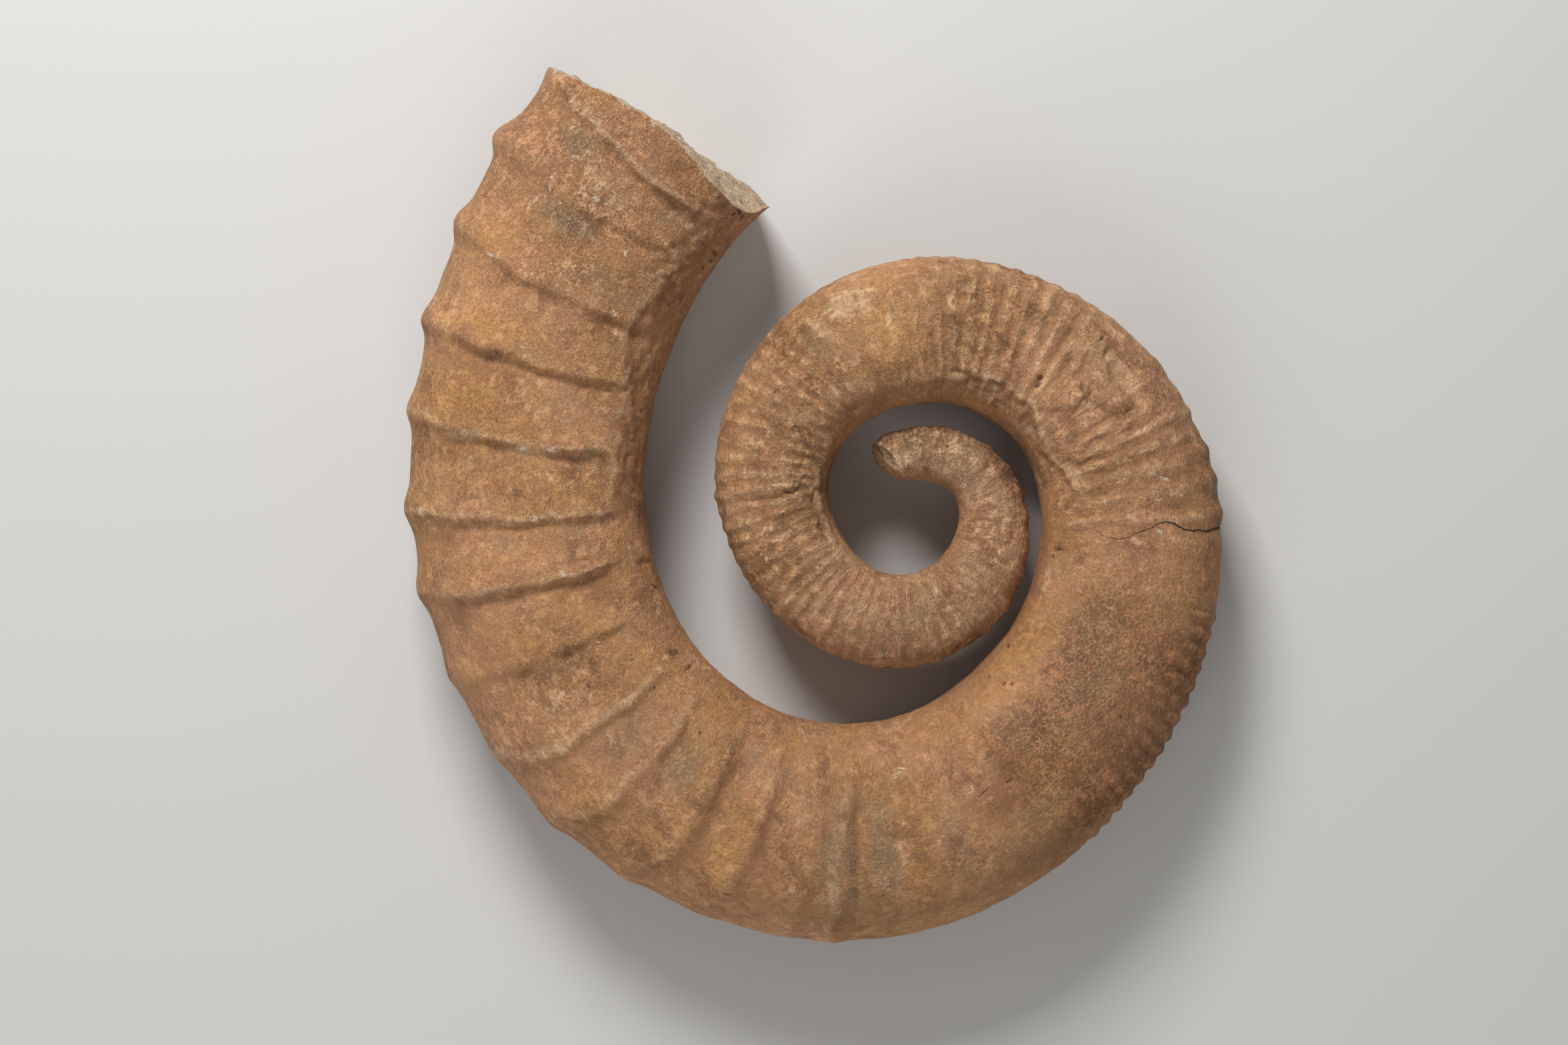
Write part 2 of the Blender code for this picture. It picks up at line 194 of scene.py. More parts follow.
# (s, reach, half length mm, half width mm, depth mm) of dents and broken places, upper flank
DENTS = (
    (487.0, 0.42, 17.0, 17.0, 0.9), (465.0, -0.24, 2.2, 5.0, 1.8), (264.0, -0.30, 1.6, 4.5, 1.6),
    (266.5, -0.42, 3.5, 2.5, 1.2), (35.0, 0.47, 1.3, 1.8, 2.0), (261.8, 0.12, 1.2, 14.0, 1.5),
    (381.0, 0.33, 1.6, 5.0, 0.8),
    (789.0, 0.1, 10.0, 26.0, 0.7), (1008.0, -0.32, 14.0, 16.0, 0.8), (1219.0, 0.2, 9.0, 20.0, 0.5),
    (1242.0, -0.35, 12.0, 14.0, 0.5), (700.0, 0.05, 14.0, 14.0, 0.5), (580.0, -0.80, 7.0, 4.0, 1.0),
    (1090.0, -0.66, 7.0, 4.0, 0.8), (22.0, -0.95, 14.0, 5.0, 0.9),
)
# (s, reach, half length, half width, height) of raised scars and lumps, upper flank
SCARS = (
    (730.0, 0.07, 6.0, 1.6, 1.3), (719.0, 0.10, 6.0, 1.4, 1.2), (725.0, 0.02, 3.0, 1.6, 0.8),
    (1012.0, 0.2, 7.0, 1.6, 0.7), (1033.5, -0.33, 2.2, 7.0, 1.0),
    (1069.0, 0.86, 2.5, 4.0, 0.9), (1108.5, 0.93, 4.0, 3.5, 1.0), (1128.0, -0.42, 14.0, 2.0, 0.6),
    (830.0, -0.08, 6.0, 4.0, 0.5), (500.0, 0.75, 5.0, 7.0, 0.6), (1212.0, -0.52, 12.0, 3.0, 0.7),
)
# flake scars, upper flank: (s, reach, half length mm, half width mm, side of the sharp edge, depth mm);
# the sharp edge faces 0 for the mouth, 90 for the outer edge, 180 for the tip
FLAKES = (
    (496.0, 0.72, 17.0, 12.0, 240.0, 1.7), (494.5, 0.02, 7.0, 10.0, 180.0, 1.0),
    (476.0, 0.16, 7.0, 9.0, 200.0, 0.7),
    (508.0, 0.05, 5.0, 12.0, 180.0, 0.8), (519.0, 0.2, 5.0, 16.0, 180.0, 0.9),
    (490.0, -0.42, 9.0, 6.0, 110.0, 1.0),
    (512.0, 0.34, 6.0, 12.0, 180.0, 0.9), (516.0, -0.17, 6.0, 8.0, 200.0, 0.8),
    (525.0, -0.32, 6.0, 8.0, 170.0, 0.7),
    (527.0, 0.45, 4.5, 9.0, 0.0, 1.0), (503.0, -0.45, 4.0, 5.0, 90.0, 0.9),
    (484.0, 0.40, 9.0, 8.0, 250.0, 0.7),
    (470.0, 0.52, 7.0, 7.0, 150.0, 0.6), (441.0, -0.62, 7.0, 4.0, 60.0, 1.1),
    (418.0, -0.62, 12.0, 4.0, 80.0, 1.0),
    (478.0, -0.60, 6.0, 5.0, 60.0, 0.9), (523.0, -0.60, 9.0, 6.0, 100.0, 1.1),
    (404.0, 0.62, 4.0, 6.0, 180.0, 0.6),
    (402.0, 0.30, 3.0, 8.0, 180.0, 0.6), (396.0, 0.40, 3.5, 8.0, 0.0, 0.5),
    (383.0, 0.26, 3.6, 6.5, 180.0, 0.5),
    (235.0, -0.80, 12.0, 4.5, 90.0, 0.9), (256.0, -0.82, 11.0, 5.0, 60.0, 1.0),
    (214.0, -0.66, 6.0, 3.0, 90.0, 0.6),
    (790.0, -0.15, 13.0, 14.0, 30.0, 0.8), (783.0, -0.30, 7.0, 8.0, 200.0, 0.5),
    (799.0, 0.42, 6.0, 10.0, 0.0, 0.5),
    (956.0, -0.83, 7.0, 5.0, 120.0, 1.3), (942.0, -0.85, 4.0, 4.0, 180.0, 0.9),
    (970.0, -0.83, 5.0, 4.0, 0.0, 0.7),
    (751.0, -0.57, 8.0, 8.0, 0.0, 0.5), (741.0, -0.52, 5.0, 6.0, 180.0, 0.4),
    (770.0, -0.52, 9.0, 4.0, 270.0, 0.5),
    (1032.0, -0.38, 5.0, 9.0, 0.0, 0.9), (1078.0, -0.73, 9.0, 4.0, 270.0, 1.0),
    (1020.0, -0.90, 7.0, 4.0, 30.0, 0.8),
    (1103.0, 0.50, 5.0, 14.0, 0.0, 0.7), (1066.0, 0.86, 3.0, 5.0, 0.0, 1.0),
    (1116.0, 0.30, 6.0, 8.0, 200.0, 0.5),
    (1153.0, -0.62, 16.0, 4.0, 95.0, 0.9), (1178.0, -0.68, 14.0, 4.0, 80.0, 0.9),
    (1210.0, -0.52, 6.0, 5.0, 120.0, 0.8),
    (1218.0, -0.40, 9.0, 12.0, 300.0, 0.7), (1240.0, -0.10, 8.0, 9.0, 60.0, 0.6),
    (1248.0, -0.45, 9.0, 7.0, 130.0, 0.8),
    (1232.0, -0.66, 10.0, 4.0, 90.0, 0.9), (1262.0, -0.62, 9.0, 5.0, 60.0, 1.0),
    (1206.0, 0.20, 9.0, 7.0, 280.0, 0.4),
    (1271.0, 0.05, 5.0, 10.0, 180.0, 0.6), (1274.0, -0.36, 6.0, 7.0, 45.0, 0.8),
    (1194.0, 0.0, 7.0, 8.0, 200.0, 0.5),
    (1277.0, -0.86, 6.0, 4.0, 90.0, 1.0), (1128.0, -0.36, 14.0, 3.0, 270.0, 0.6),
    (1005.0, 0.15, 9.0, 8.0, 320.0, 0.4),
    (985.0, -0.10, 6.0, 8.0, 0.0, 0.4), (907.0, -0.10, 9.0, 9.0, 20.0, 0.5),
    (939.0, 0.42, 8.0, 6.0, 60.0, 0.4),
    (862.0, -0.48, 9.0, 6.0, 250.0, 0.5), (835.0, 0.30, 7.0, 14.0, 40.0, 0.5),
    (700.0, 0.22, 9.0, 6.0, 30.0, 0.4),
    (755.5, 0.58, 5.5, 24.0, 0.0, 0.6), (783.0, 0.3, 5.0, 26.0, 180.0, 0.4),
    (709.0, 0.0, 9.0, 8.0, 330.0, 0.9), (672.0, 0.28, 12.0, 4.0, 90.0, 0.5),
    (690.0, 0.10, 11.0, 5.0, 110.0, 0.5), (580.0, -0.82, 4.0, 3.0, 160.0, 1.0),
    (100.0, -0.2, 6.0, 6.0, 90.0, 0.3), (128.0, -0.34, 3.0, 3.0, 120.0, 0.7),
    (69.0, 0.0, 2.6, 9.0, 180.0, 0.5), (84.0, 0.4, 3.0, 8.0, 0.0, 0.5), (57.0, 0.6, 3.0, 6.0, 180.0, 0.5),
)
# the crack across the right of the coil: (reach, s)
CRACK = (
    (-0.66, 563.1), (-0.57, 563.9), (-0.47, 562.7), (-0.40, 564.6), (-0.29, 568.1), (-0.18, 569.7),
    (-0.065, 569.1), (0.02, 566.7), (0.13, 564.6), (0.25, 563.1), (0.37, 561.4), (0.47, 561.7),
    (0.61, 564.9), (0.84, 565.6), (1.0, 564.6),
)
# lower side of the old shell's broken edge along the inner shoulder: (s, reach, step mm)
LEDGE = (
    (120.0, -0.80, 0.0), (200.0, -0.80, 0.6), (235.0, -0.84, 1.2), (262.0, -0.80, 1.3), (290.0, -0.84, 0.5),
    (380.0, -0.80, 0.3), (400.0, -0.66, 1.0), (418.0, -0.62, 1.0), (435.0, -0.52, 1.0), (446.0, -0.48, 1.1),
    (456.0, -0.58, 1.5), (470.0, -0.58, 2.0), (480.0, -0.66, 2.0), (492.0, -0.78, 2.0), (508.0, -0.77, 1.9),
    (520.0, -0.69, 1.8), (530.0, -0.61, 1.7), (537.0, -0.56, 1.2), (548.0, -0.70, 0.3), (600.0, -0.85, 0.3),
    (700.0, -0.9, 0.0), (1030.0, -0.75, 0.0), (1060.0, -0.70, 0.4), (1095.0, -0.75, 0.7),
    (1135.0, -0.78, 0.9),
    (1147.0, -0.73, 1.3), (1173.0, -0.62, 1.7), (1199.0, -0.70, 1.4), (1213.0, -0.70, 1.1),
    (1234.0, -0.77, 0.9),
    (1262.0, -0.85, 0.4), (1290.0, -0.9, 0.0),
)

# ---- Stage -----------------------------------------------------------------------------------
WIDTH_IN_VIEW = 0.8265          # metres across the picture, at the height of the middle line
VIEW_CENTRE = (-0.0158, -0.0090)
CAMERA_ABOVE = 2.0
FLOOR_SIZE = 6.0
FLOOR_COLOR = (0.62, 0.61, 0.59, 1.0)
FLOOR_ROUGHNESS = 0.9
STAGE_MIDDLE = (0.0, 0.0, 0.0)
# (name, place, width of the light, watts)
SOFT_LIGHTS = (
    ("key", (-0.43, 1.37, 1.30), 0.66, 36.4),
    ("fill", (-0.45, -1.5, 1.3), 1.4, 11.8),
)
SURROUNDINGS_COLOR = (1.0, 1.0, 1.0, 1.0)
SURROUNDINGS_STRENGTH = 0.24


class Course:
    """The tube's middle line: place, outward direction and height at any s."""

    def __init__(self):
        last = FIRST_TURN_DEG + TURN_STEP_DEG * (len(STATIONS) - 1)
        turn = np.linspace(FIRST_TURN_DEG, last, CURVE_SAMPLES)
        radius = natural_spline(FIRST_TURN_DEG, TURN_STEP_DEG, [row[0] for row in STATIONS])(turn)
        self.height = natural_spline(FIRST_TURN_DEG, TURN_STEP_DEG, [row[1] for row in STATIONS])(turn)
        self.x = radius * np.sin(np.radians(turn))
        self.y = radius * np.cos(np.radians(turn))
        run = np.concatenate(([0.0], np.cumsum(np.hypot(np.diff(self.x), np.diff(self.y)))))
        self.s = run - np.interp(TIP_TURN_DEG, turn, run)
        self.out_x = -np.gradient(self.y, self.s)
        self.out_y = np.gradient(self.x, self.s)

    def middle(self, s):
        return np.stack((np.interp(s, self.s, self.x), np.interp(s, self.s, self.y), 0.0 * s), axis=-1)

    def outward(self, s):
        out = np.stack((np.interp(s, self.s, self.out_x), np.interp(s, self.s, self.out_y), 0.0 * s), axis=-1)
        return out / np.linalg.norm(out, axis=-1, keepdims=True)

    def sizes(self, s):
        """Height and breadth of the tube."""
        height = np.interp(s, self.s, self.height)
        share = np.clip(s / CAGE_END, 0.0, 1.0)
        return height, height * (BREADTH_AT_TIP + (BREADTH_AT_MOUTH - BREADTH_AT_TIP) * share)


def natural_spline(first, step, values):
    """A natural cubic spline through evenly spaced values, as a function of position."""
    values = np.asarray(values, dtype=float)
    count = len(values)
    system = np.eye(count)
    right = np.zeros(count)
    for row in range(1, count - 1):
        system[row, row - 1:row + 2] = (1.0, 4.0, 1.0)
        right[row] = 6.0 * (values[row - 1] - 2.0 * values[row] + values[row + 1]) / step ** 2
    bend = np.linalg.solve(system, right)

    def value(at):
        place = (np.asarray(at, dtype=float) - first) / step
        low = np.clip(np.floor(place).astype(int), 0, count - 2)
        after = place - low
        before = 1.0 - after
        curve = (before ** 3 - before) * bend[low] + (after ** 3 - after) * bend[low + 1]
        return before * values[low] + after * values[low + 1] + curve * step ** 2 / 6.0

    return value


# ---- Small tools for fields over the skin ----------------------------------------------------
def along(s, knots):
    """Value of a (place, value) list at s."""
    return np.interp(s, [knot[0] for knot in knots], [knot[1] for knot in knots])


def bell(value, width):
    return np.exp(-(value / width) ** 2)


def smooth_step(value, low, high):
    share = np.clip((value - low) / (high - low), 0.0, 1.0)
    return share * share * (3.0 - 2.0 * share)


def lattice(cell, seed):
    """A number from 0 to 1 for each whole-numbered cell."""
    mixed = cell[..., 0] * 73856093 ^ cell[..., 1] * 19349663 ^ cell[..., 2] * 83492791 ^ seed * 2654435761
    mixed = (mixed ^ (mixed >> 13)) * 1274126177 & 0x7FFFFFFF
    mixed = (mixed ^ (mixed >> 15)) * 668265263 & 0x7FFFFFFF
    return (mixed >> 8 & 0xFFFF) / 65535.0


def cloud(points, size, seed):
    """Smooth noise from about -1 to 1; size is its wavelength in the points' own units."""
    spot = points / size
    cell = np.floor(spot).astype(np.int64)
    within = spot - cell
    fade = within ** 3 * (within * (within * 6.0 - 15.0) + 10.0)
    total = np.zeros(len(points))
    for corner in itertools.product((0, 1), repeat=3):
        at = cell + np.array(corner)
        slope = np.stack([lattice(at, seed * 3 + axis) - 0.5 for axis in range(3)], axis=-1)
        share = np.prod(np.where(np.array(corner) == 1, fade, 1.0 - fade), axis=-1)
        total += share * np.sum(slope * (within - np.array(corner)), axis=-1)
    return np.clip(total * 3.2, -1.5, 1.5)


def clouds(points, size, seed, octaves=3, gain=0.5):
    total = np.zeros(len(points))
    for octave in range(octaves):
        total += gain ** octave * cloud(points, size / 2.0 ** octave, seed + octave)
    return total


def scales(points, size, seed):
    """For each point: a random height from 0 to 1 of its cell, and how near it is to the cell's edge."""
    spot = points / size
    cell = np.floor(spot).astype(np.int64)
    nearest = np.full(len(points), 9.0)
    second = np.full(len(points), 9.0)
    height = np.zeros(len(points))
    for corner in itertools.product((-1, 0, 1), repeat=3):
        at = cell + np.array(corner)
        centre = at + np.stack([lattice(at, seed + axis) for axis in range(3)], axis=-1)
        away = np.linalg.norm(spot - centre, axis=-1)
        closer = away < nearest
        second = np.where(closer, nearest, np.minimum(second, away))
        height = np.where(closer, lattice(at, seed + 7), height)
        nearest = np.where(closer, away, nearest)
    return height, second - nearest


# ---- Relief of the skin ----------------------------------------------------------------------
def zone_grooves(zone):
    first, last, count = zone
    return [float(s) for s in np.linspace(first, last, count + 1)]


GROOVES = np.array(sorted({s for zone in RIB_ZONES for s in zone_grooves(zone)}))
NOTCHES = np.array(zone_grooves(NOTCH_ZONE))


def break_line(rows, reach, share):
    """s of a broken face: share runs from 0 in the lower flank to 1 in the upper flank."""
    knots = [row[0] for row in rows]
    upper = np.interp(reach, knots, [row[1] for row in rows])
    lower = np.interp(reach, knots, [row[2] for row in rows])
    return lower + (upper - lower) * share


def sight(course, s, across):
    """How far along and across the tube a point seems to move, per millimetre that it stands up."""
    outward = course.outward(s)[:, :2]
    point = course.middle(s)[:, :2] + outward * across[:, None]
    from_axis = point - (np.array(VIEW_CENTRE) - np.array(COIL_CENTRE)[:2]) / MM
    forward = np.stack((outward[:, 1], -outward[:, 0]), axis=-1)
    per_mm = from_axis * MM / CAMERA_ABOVE
    return np.sum(per_mm * forward, axis=-1), np.sum(per_mm * outward, axis=-1)


def ripple(s, grooves, skew=0.8):
    """0 in a groove, 1 on the crest between two grooves, steeper on the tip's side."""
    after = np.clip(np.searchsorted(grooves, s, side="right"), 1, len(grooves) - 1)
    low = grooves[after - 1]
    phase = np.clip((s - low) / (grooves[after] - low), 0.0, 1.0) ** skew
    return 0.5 - 0.5 * np.cos(2.0 * math.pi * phase)


class Skin:
    """Every vertex of the fossil's skin by its place on the tube, and what is carved there."""

    def __init__(self, course, place, angle, sizes):
        self.course = course
        self.sizes = sizes
        tip_span, mouth_span = end_spans()
        into_break = np.maximum((place - CAGE_END) / mouth_span, -place / tip_span)
        into_break[into_break < 0.001] = 0.0
        self.inner = 1.0 - np.clip(into_break, 0.0, 1.0)    # 1 on the skin, 0 in the middle of a break
        self.from_break = np.where(place > CAGE_END, BREAK_RUN * (1.0 - self.inner), place - CAGE_END)
        s = np.clip(place, 0.0, CAGE_END)
        cosine = np.cos(angle)
        sine = np.sin(angle)
        self.reach = np.sign(cosine) * np.abs(cosine) ** (2.0 / SQUARENESS)
        self.side = np.sign(sine) * np.abs(sine) ** (2.0 / SQUARENESS) * (1.0 - EGG * self.reach)
        self.true_s = self.slide_to_breaks(s)
        self.height, self.breadth = course.sizes(self.true_s)
        self.upper = smooth_step(self.side, -0.1, 0.15)
        self.across = self.reach * self.inner * self.height / 2.0
        self.above = self.side * self.inner * self.breadth / 2.0
        self.straight = np.stack((self.true_s, self.across, self.above), axis=-1)
        # ribs and marks are placed as they look from the camera
        lean, rise = sight(course, self.true_s, self.across)
        raised = np.maximum(self.above, 0.0)
        self.s = self.true_s + lean * raised
        self.true_reach = self.reach
        self.reach = np.clip(self.reach + 2.0 * rise * raised / self.height, -1.0, 1.0)

    def slide_to_breaks(self, s):
        """Let the rings near the two ends lean into the slanting broken faces."""
        reach = self.reach * self.inner
        edge = np.maximum(1.0 - np.abs(reach) ** SQUARENESS, 0.0) ** (1.0 / SQUARENESS)
        side = self.side * self.inner
        share = 0.5 + 0.5 * np.clip(side / np.maximum(edge * (1.0 - EGG * reach), 0.02), -1.0, 1.0)
        flat = np.stack((reach * 60.0, share * 90.0, 0.0 * s), axis=-1)
        ragged = 0.9 * clouds(flat, 13.0, 131)
        height, breadth = self.course.sizes(s)
        lean, _rise = sight(self.course, s, reach * height / 2.0)
        mouth = break_line(MOUTH_BREAK, reach, share) + ragged - lean * side * breadth / 2.0
        tip = break_line(TIP_BREAK, reach, share) + 0.5 * ragged
        to_mouth = np.clip((s - CAGE_END) / MOUTH_BLEND + 1.0, 0.0, 1.0)
        to_tip = np.clip(1.0 - s / TIP_BLEND, 0.0, 1.0)
        return s + to_mouth * (mouth - CAGE_END) + to_tip * tip

    def fine_ribs(self):
        """The coil's ribs, fading towards the inner edge."""
        slant = along(self.s, RIB_SLANT)
        wobble = 0.9 * cloud(self.straight, 11.0, 3) + 0.4 * cloud(self.straight, 5.0, 4)
        place = self.s + slant * self.reach * 0.5 + wobble
        shape = ripple(place, GROOVES) ** 1.3 - 0.45
        number = np.searchsorted(GROOVES, place)
        part = np.floor(self.reach * 1.4 + 9.3).astype(int)
        own = lattice(np.stack((number, number * 0 + 5, part), axis=-1), 9)
        strength = np.interp(self.reach, (-0.85, -0.5, 0.8, 1.0), (0.0, 1.0, 1.0, 0.8))
        uneven = np.clip(0.6 + 0.8 * own + 0.6 * cloud(self.straight, 13.0, 5), 0.1, 2.0)
        inside = (place > GROOVES[0]) & (place < GROOVES[-1])
        self.rib_shape = np.where(inside, shape, 0.0) * strength
        return self.rib_shape * along(self.s, RIB_HEIGHT) * uneven * self.sizes.fine_ribs

    def growth_lines(self):
        """Fine crumpled lines across the tube, strongest near the tip."""
        slant = 0.5 * along(self.s, RIB_SLANT) * self.reach
        shift = 1.4 * cloud(self.straight, 9.0, 14) + slant
        bent = self.straight + np.stack([shift, 0.0 * slant, 0.0 * slant], axis=-1)
        across = bent * np.array((1.0, 0.34, 0.34))
        lines = cloud(across, 4.6, 11) * (0.7 + 0.6 * cloud(self.straight, 12.0, 15))
        lines = lines + 0.9 * cloud(across, 2.7, 12)
        strength = along(self.s, GROWTH_STRENGTH)
        self.lines = lines * strength * np.interp(self.reach, (-0.9, -0.5), (0.4, 1.0))
        return self.lines

    def strong_ribs(self):
        total = np.zeros(len(self.s))
        self.crest = np.zeros(len(self.s))
        self.groove = np.zeros(len(self.s))
        wobble = 1.3 * cloud(self.straight, 16.0, 21) + 0.9 * cloud(self.straight, 6.5, 22)
        uneven = 1.0 + 0.45 * cloud(self.straight, 24.0, 23) + 0.35 * cloud(self.straight, 9.0, 24)
        on_flank = np.interp(self.reach, (-0.8, -0.62, -0.4, 1.0), (0.0, 0.45, 1.0, 1.0))
        on_knob = np.interp(self.reach, (0.35, 0.6, 0.8, 0.93, 1.0), (0.0, 0.15, 0.7, 1.0, 0.92))
        for line, knob, knob_height, flank_height, wide, dark, pale in STRONG_RIBS:
            place = self.s + wobble * (1.0 - 0.6 * on_knob)
            groove = np.interp(self.reach, GROOVE_REACH, line)
            crest = groove + CREST_AFTER_GROOVE
            crest += (knob - crest) * smooth_step(self.reach, 0.72, 0.98)
            away = place - crest
            behind = np.exp(-np.maximum(away, 0.0) / MOUTHWARD_RUN) * (1.0 - smooth_step(away, 14.0, 34.0))
            run = TIPWARD_RUN + 4.0 * smooth_step(SOFT_RIBS_END - knob, 0.0, 80.0)
            ridge = np.where(away < 0.0, smooth_step(away, -run, 0.6), behind)
            soft = smooth_step(SOFT_RIBS_END - knob, 0.0, 60.0)
            wide = wide * (1.0 + 0.5 * soft)
            cut = bell(away + CREST_AFTER_GROOVE, 0.9 * wide) * (1.0 - on_knob) * (1.0 - 0.5 * soft)
            knob_shape = np.where(away < 0.0, bell(away, KNOB_TIPWARD), bell(away, KNOB_MOUTHWARD)) * on_knob
            hollow = 0.34 * bell(away + run + 5.0, 8.0) * (1.0 - on_knob)
            shape = ridge * (1.0 - on_knob) - GROOVE_SHARE * cut - hollow
            total += self.sizes.rib_height * (1.25 * flank_height + 0.3) * on_flank * uneven * shape
            total += self.sizes.knob_height * knob_height * knob_shape
            # painted highlight along each crest, partly worn pale, and painted shade in each groove; the
            # finish reads both
            self.crest = np.maximum(self.crest, pale * on_flank * bell(away - 0.4 - soft, 1.9 + 1.6 * soft))
            shadow = 0.8 * dark * on_flank * bell(away + CREST_AFTER_GROOVE - 0.6, wide) * (1.0 - 0.3 * soft)
            self.groove = np.maximum(self.groove, shadow)
        return total

    def notches(self):
        inside = (self.s > NOTCHES[0]) & (self.s < NOTCHES[-1])
        edge = smooth_step(self.reach, 0.5, 0.95)
        wave = ripple(self.s + 0.8 * cloud(self.straight, 9.0, 31), NOTCHES) - 0.5
        self.notch = np.where(inside, wave, 0.0) * edge
        return NOTCH_HEIGHT * self.notch

    def knobs(self):
        total = np.zeros(len(self.s))
        for at, high, half_length, at_reach in COIL_KNOBS:
            spread = np.where(self.reach > at_reach, 0.3, 0.16)
            total += high * bell(self.s - at, half_length) * np.exp(-((self.reach - at_reach) / spread) ** 2)
        return total

    def spot(self, at, at_reach, half_length, half_width):
        """1 inside an oval place of the upper flank, 0 well outside it, with an uneven rim."""
        ragged = 1.0 + 0.22 * cloud(self.straight, 6.0, 41)
        lengthwise = (self.s - at) / half_length
        crosswise = (self.reach - at_reach) * self.height / 2.0 / half_width
        return np.exp(-((lengthwise ** 2 + crosswise ** 2) * ragged) ** 2) * self.upper

    def dents(self):
        total = np.zeros(len(self.s))
        for at, at_reach, half_length, half_width, depth in DENTS:
            total -= depth * self.spot(at, at_reach, half_length, half_width)
        for at, at_reach, half_length, half_width, height in SCARS:
            total += height * self.spot(at, at_reach, half_length, half_width)
        return total

    def flakes(self):
        """Scars of the old shell's layers: a sharp step on one side, running out on the other."""
        total = np.zeros(len(self.s))
        self.edge = np.zeros(len(self.s))
        ragged = 0.9 * cloud(self.straight, 7.0, 51) + 0.6 * cloud(self.straight, 3.5, 52)
        for at, at_reach, half_length, half_width, sharp_side, depth in FLAKES:
            lengthwise = self.s - at
            crosswise = (self.reach - at_reach) * self.height / 2.0
            far = np.hypot(lengthwise / half_length, crosswise / half_width)
            inside = (1.0 - far) * min(half_length, half_width) + ragged
            bearing = np.arctan2(crosswise, lengthwise) - math.radians(sharp_side)
            fade = smooth_step(np.cos(bearing), -0.3, 0.6) * self.upper
            total -= 1.2 * depth * smooth_step(inside, -0.3, 0.7) * smooth_step(far, 0.0, 0.9) * fade
            # self.edge: painted shade along each flake's sharp step, which the finish reads through hollow
            self.edge = np.maximum(self.edge, min(depth, 1.0) * bell(inside - 0.3, 1.1) * fade)
        worn = self.spot(490.0, 0.1, 27.0, 34.0)
        slanting = self.straight @ np.array(((0.9, -0.1, 0.0), (0.25, 0.22, 0.0), (0.0, 0.0, 0.2)))
        self.fibres = worn * (cloud(slanting, 3.6, 55) + 0.6 * cloud(slanting, 2.0, 56))
        facets, _edge = scales(self.straight * np.array((1.0, 0.8, 1.0)), 13.0, 59)
        return total + 0.45 * self.fibres + 1.1 * worn * (facets - 0.5)

    def crack(self):
        """A fine open crack; keeps how far every place is from it."""
        line = np.interp(self.reach, [row[0] for row in CRACK], [row[1] for row in CRACK])
        self.from_crack = self.s - line + 0.8 * cloud(self.straight, 7.0, 57)
        self.from_crack = self.from_crack + 0.4 * cloud(self.straight, 3.0, 58)
        wide = np.interp(self.reach, (-0.68, -0.5, 0.2, 0.5, 1.0), (0.0, 0.16, 0.28, 0.55, 0.62))
        self.crack_width = wide * self.upper
        return -0.9 * self.crack_width * bell(self.from_crack, 0.9)

    def ledge(self):
        """The step down from the ribbed layer to the bare inner side of the tube."""
        at_reach = np.interp(self.s, [row[0] for row in LEDGE], [row[1] for row in LEDGE])
        deep = np.interp(self.s, [row[0] for row in LEDGE], [row[2] for row in LEDGE])
        ragged = 0.06 * clouds(self.straight * np.array((0.7, 1.0, 1.0)), 12.0, 61)
        drop = at_reach + ragged - self.reach
        below = smooth_step(drop, -0.03, 0.08)
        lip = bell(drop + 0.055, 0.045) * np.clip(deep, 0.0, 1.0)
        rough = 0.5 * clouds(self.straight * np.array((0.4, 1.0, 1.0)), 7.0, 64)
        # self.lip: painted highlight on the lip and painted shade just below it, read by the finish
        self.lip = (lip - 0.9 * bell(drop - 0.05, 0.05) * np.clip(deep, 0.0, 1.0)) * self.upper
        return (0.5 * lip - deep * below * (0.85 - rough)) * self.upper

    def coarse_grain(self):
        """Granular weathering on the right of the coil, and the rough inner side of the tube."""
        zone = smooth_step(self.s, 590.0, 622.0) * (1.0 - smooth_step(self.s, 690.0, 730.0))
        zone *= smooth_step(self.reach, -0.6, -0.3)
        grains = clouds(self.straight, 5.0, 71, 2, 0.7)
        turned = self.straight @ np.array(((0.75, -0.5, 0.0), (0.45, 0.9, 0.0), (0.0, 0.0, 1.0)))
        ridges = 1.0 - np.abs(cloud(turned, 6.0, 73)) * 2.4
        self.rough_zone = zone
        self.bumps = zone * np.clip(0.6 * grains + 0.8 * ridges - 0.2, -1.0, 1.0)
        total = zone * (0.50 * grains + 0.42 * np.clip(ridges, -0.5, 1.0))
        inner_side = 1.0 - smooth_step(self.reach, -0.9, -0.66)
        longwise = self.straight * np.array((0.4, 1.0, 1.0))
        shaft = smooth_step(self.s, 980.0, 1060.0)
        streaks = cloud(longwise, 6.0, 75) + 0.6 * cloud(longwise, 3.6, 76)
        return total + inner_side * (0.12 + 0.26 * shaft) * streaks

    def terraces(self):
        """Split layers whose edges run along the tube, on its inner side and in the worn patch."""
        bent = self.straight * np.array((0.2, 1.0, 1.0))
        level = 2.6 * cloud(bent + 17.0, 15.0, 121) + 1.1 * cloud(bent, 6.0, 122) + 0.06 * self.straight[:, 1]
        within = level - np.floor(level)
        step = np.floor(level) + smooth_step(within, 0.0, 0.22) - level
        inner_side = smooth_step(-self.reach, 0.36, 0.6) * (1.0 - smooth_step(-self.reach, 0.93, 1.0) * 0.6)
        strength = along(self.s, TERRACE_STRENGTH)
        worn = 0.5 * self.spot(494.0, 0.15, 24.0, 30.0)
        share = np.maximum(inner_side * strength, worn) * self.upper
        # painted light and shade for the finish: the top of each step's edge lighter, its foot darker
        lit = bell(within - 0.22, 0.16) - 1.3 * bell(within - 0.03, 0.10)
        self.terrace_shading = np.clip(lit, -1.0, 1.0) * share
        return 1.5 * step * share

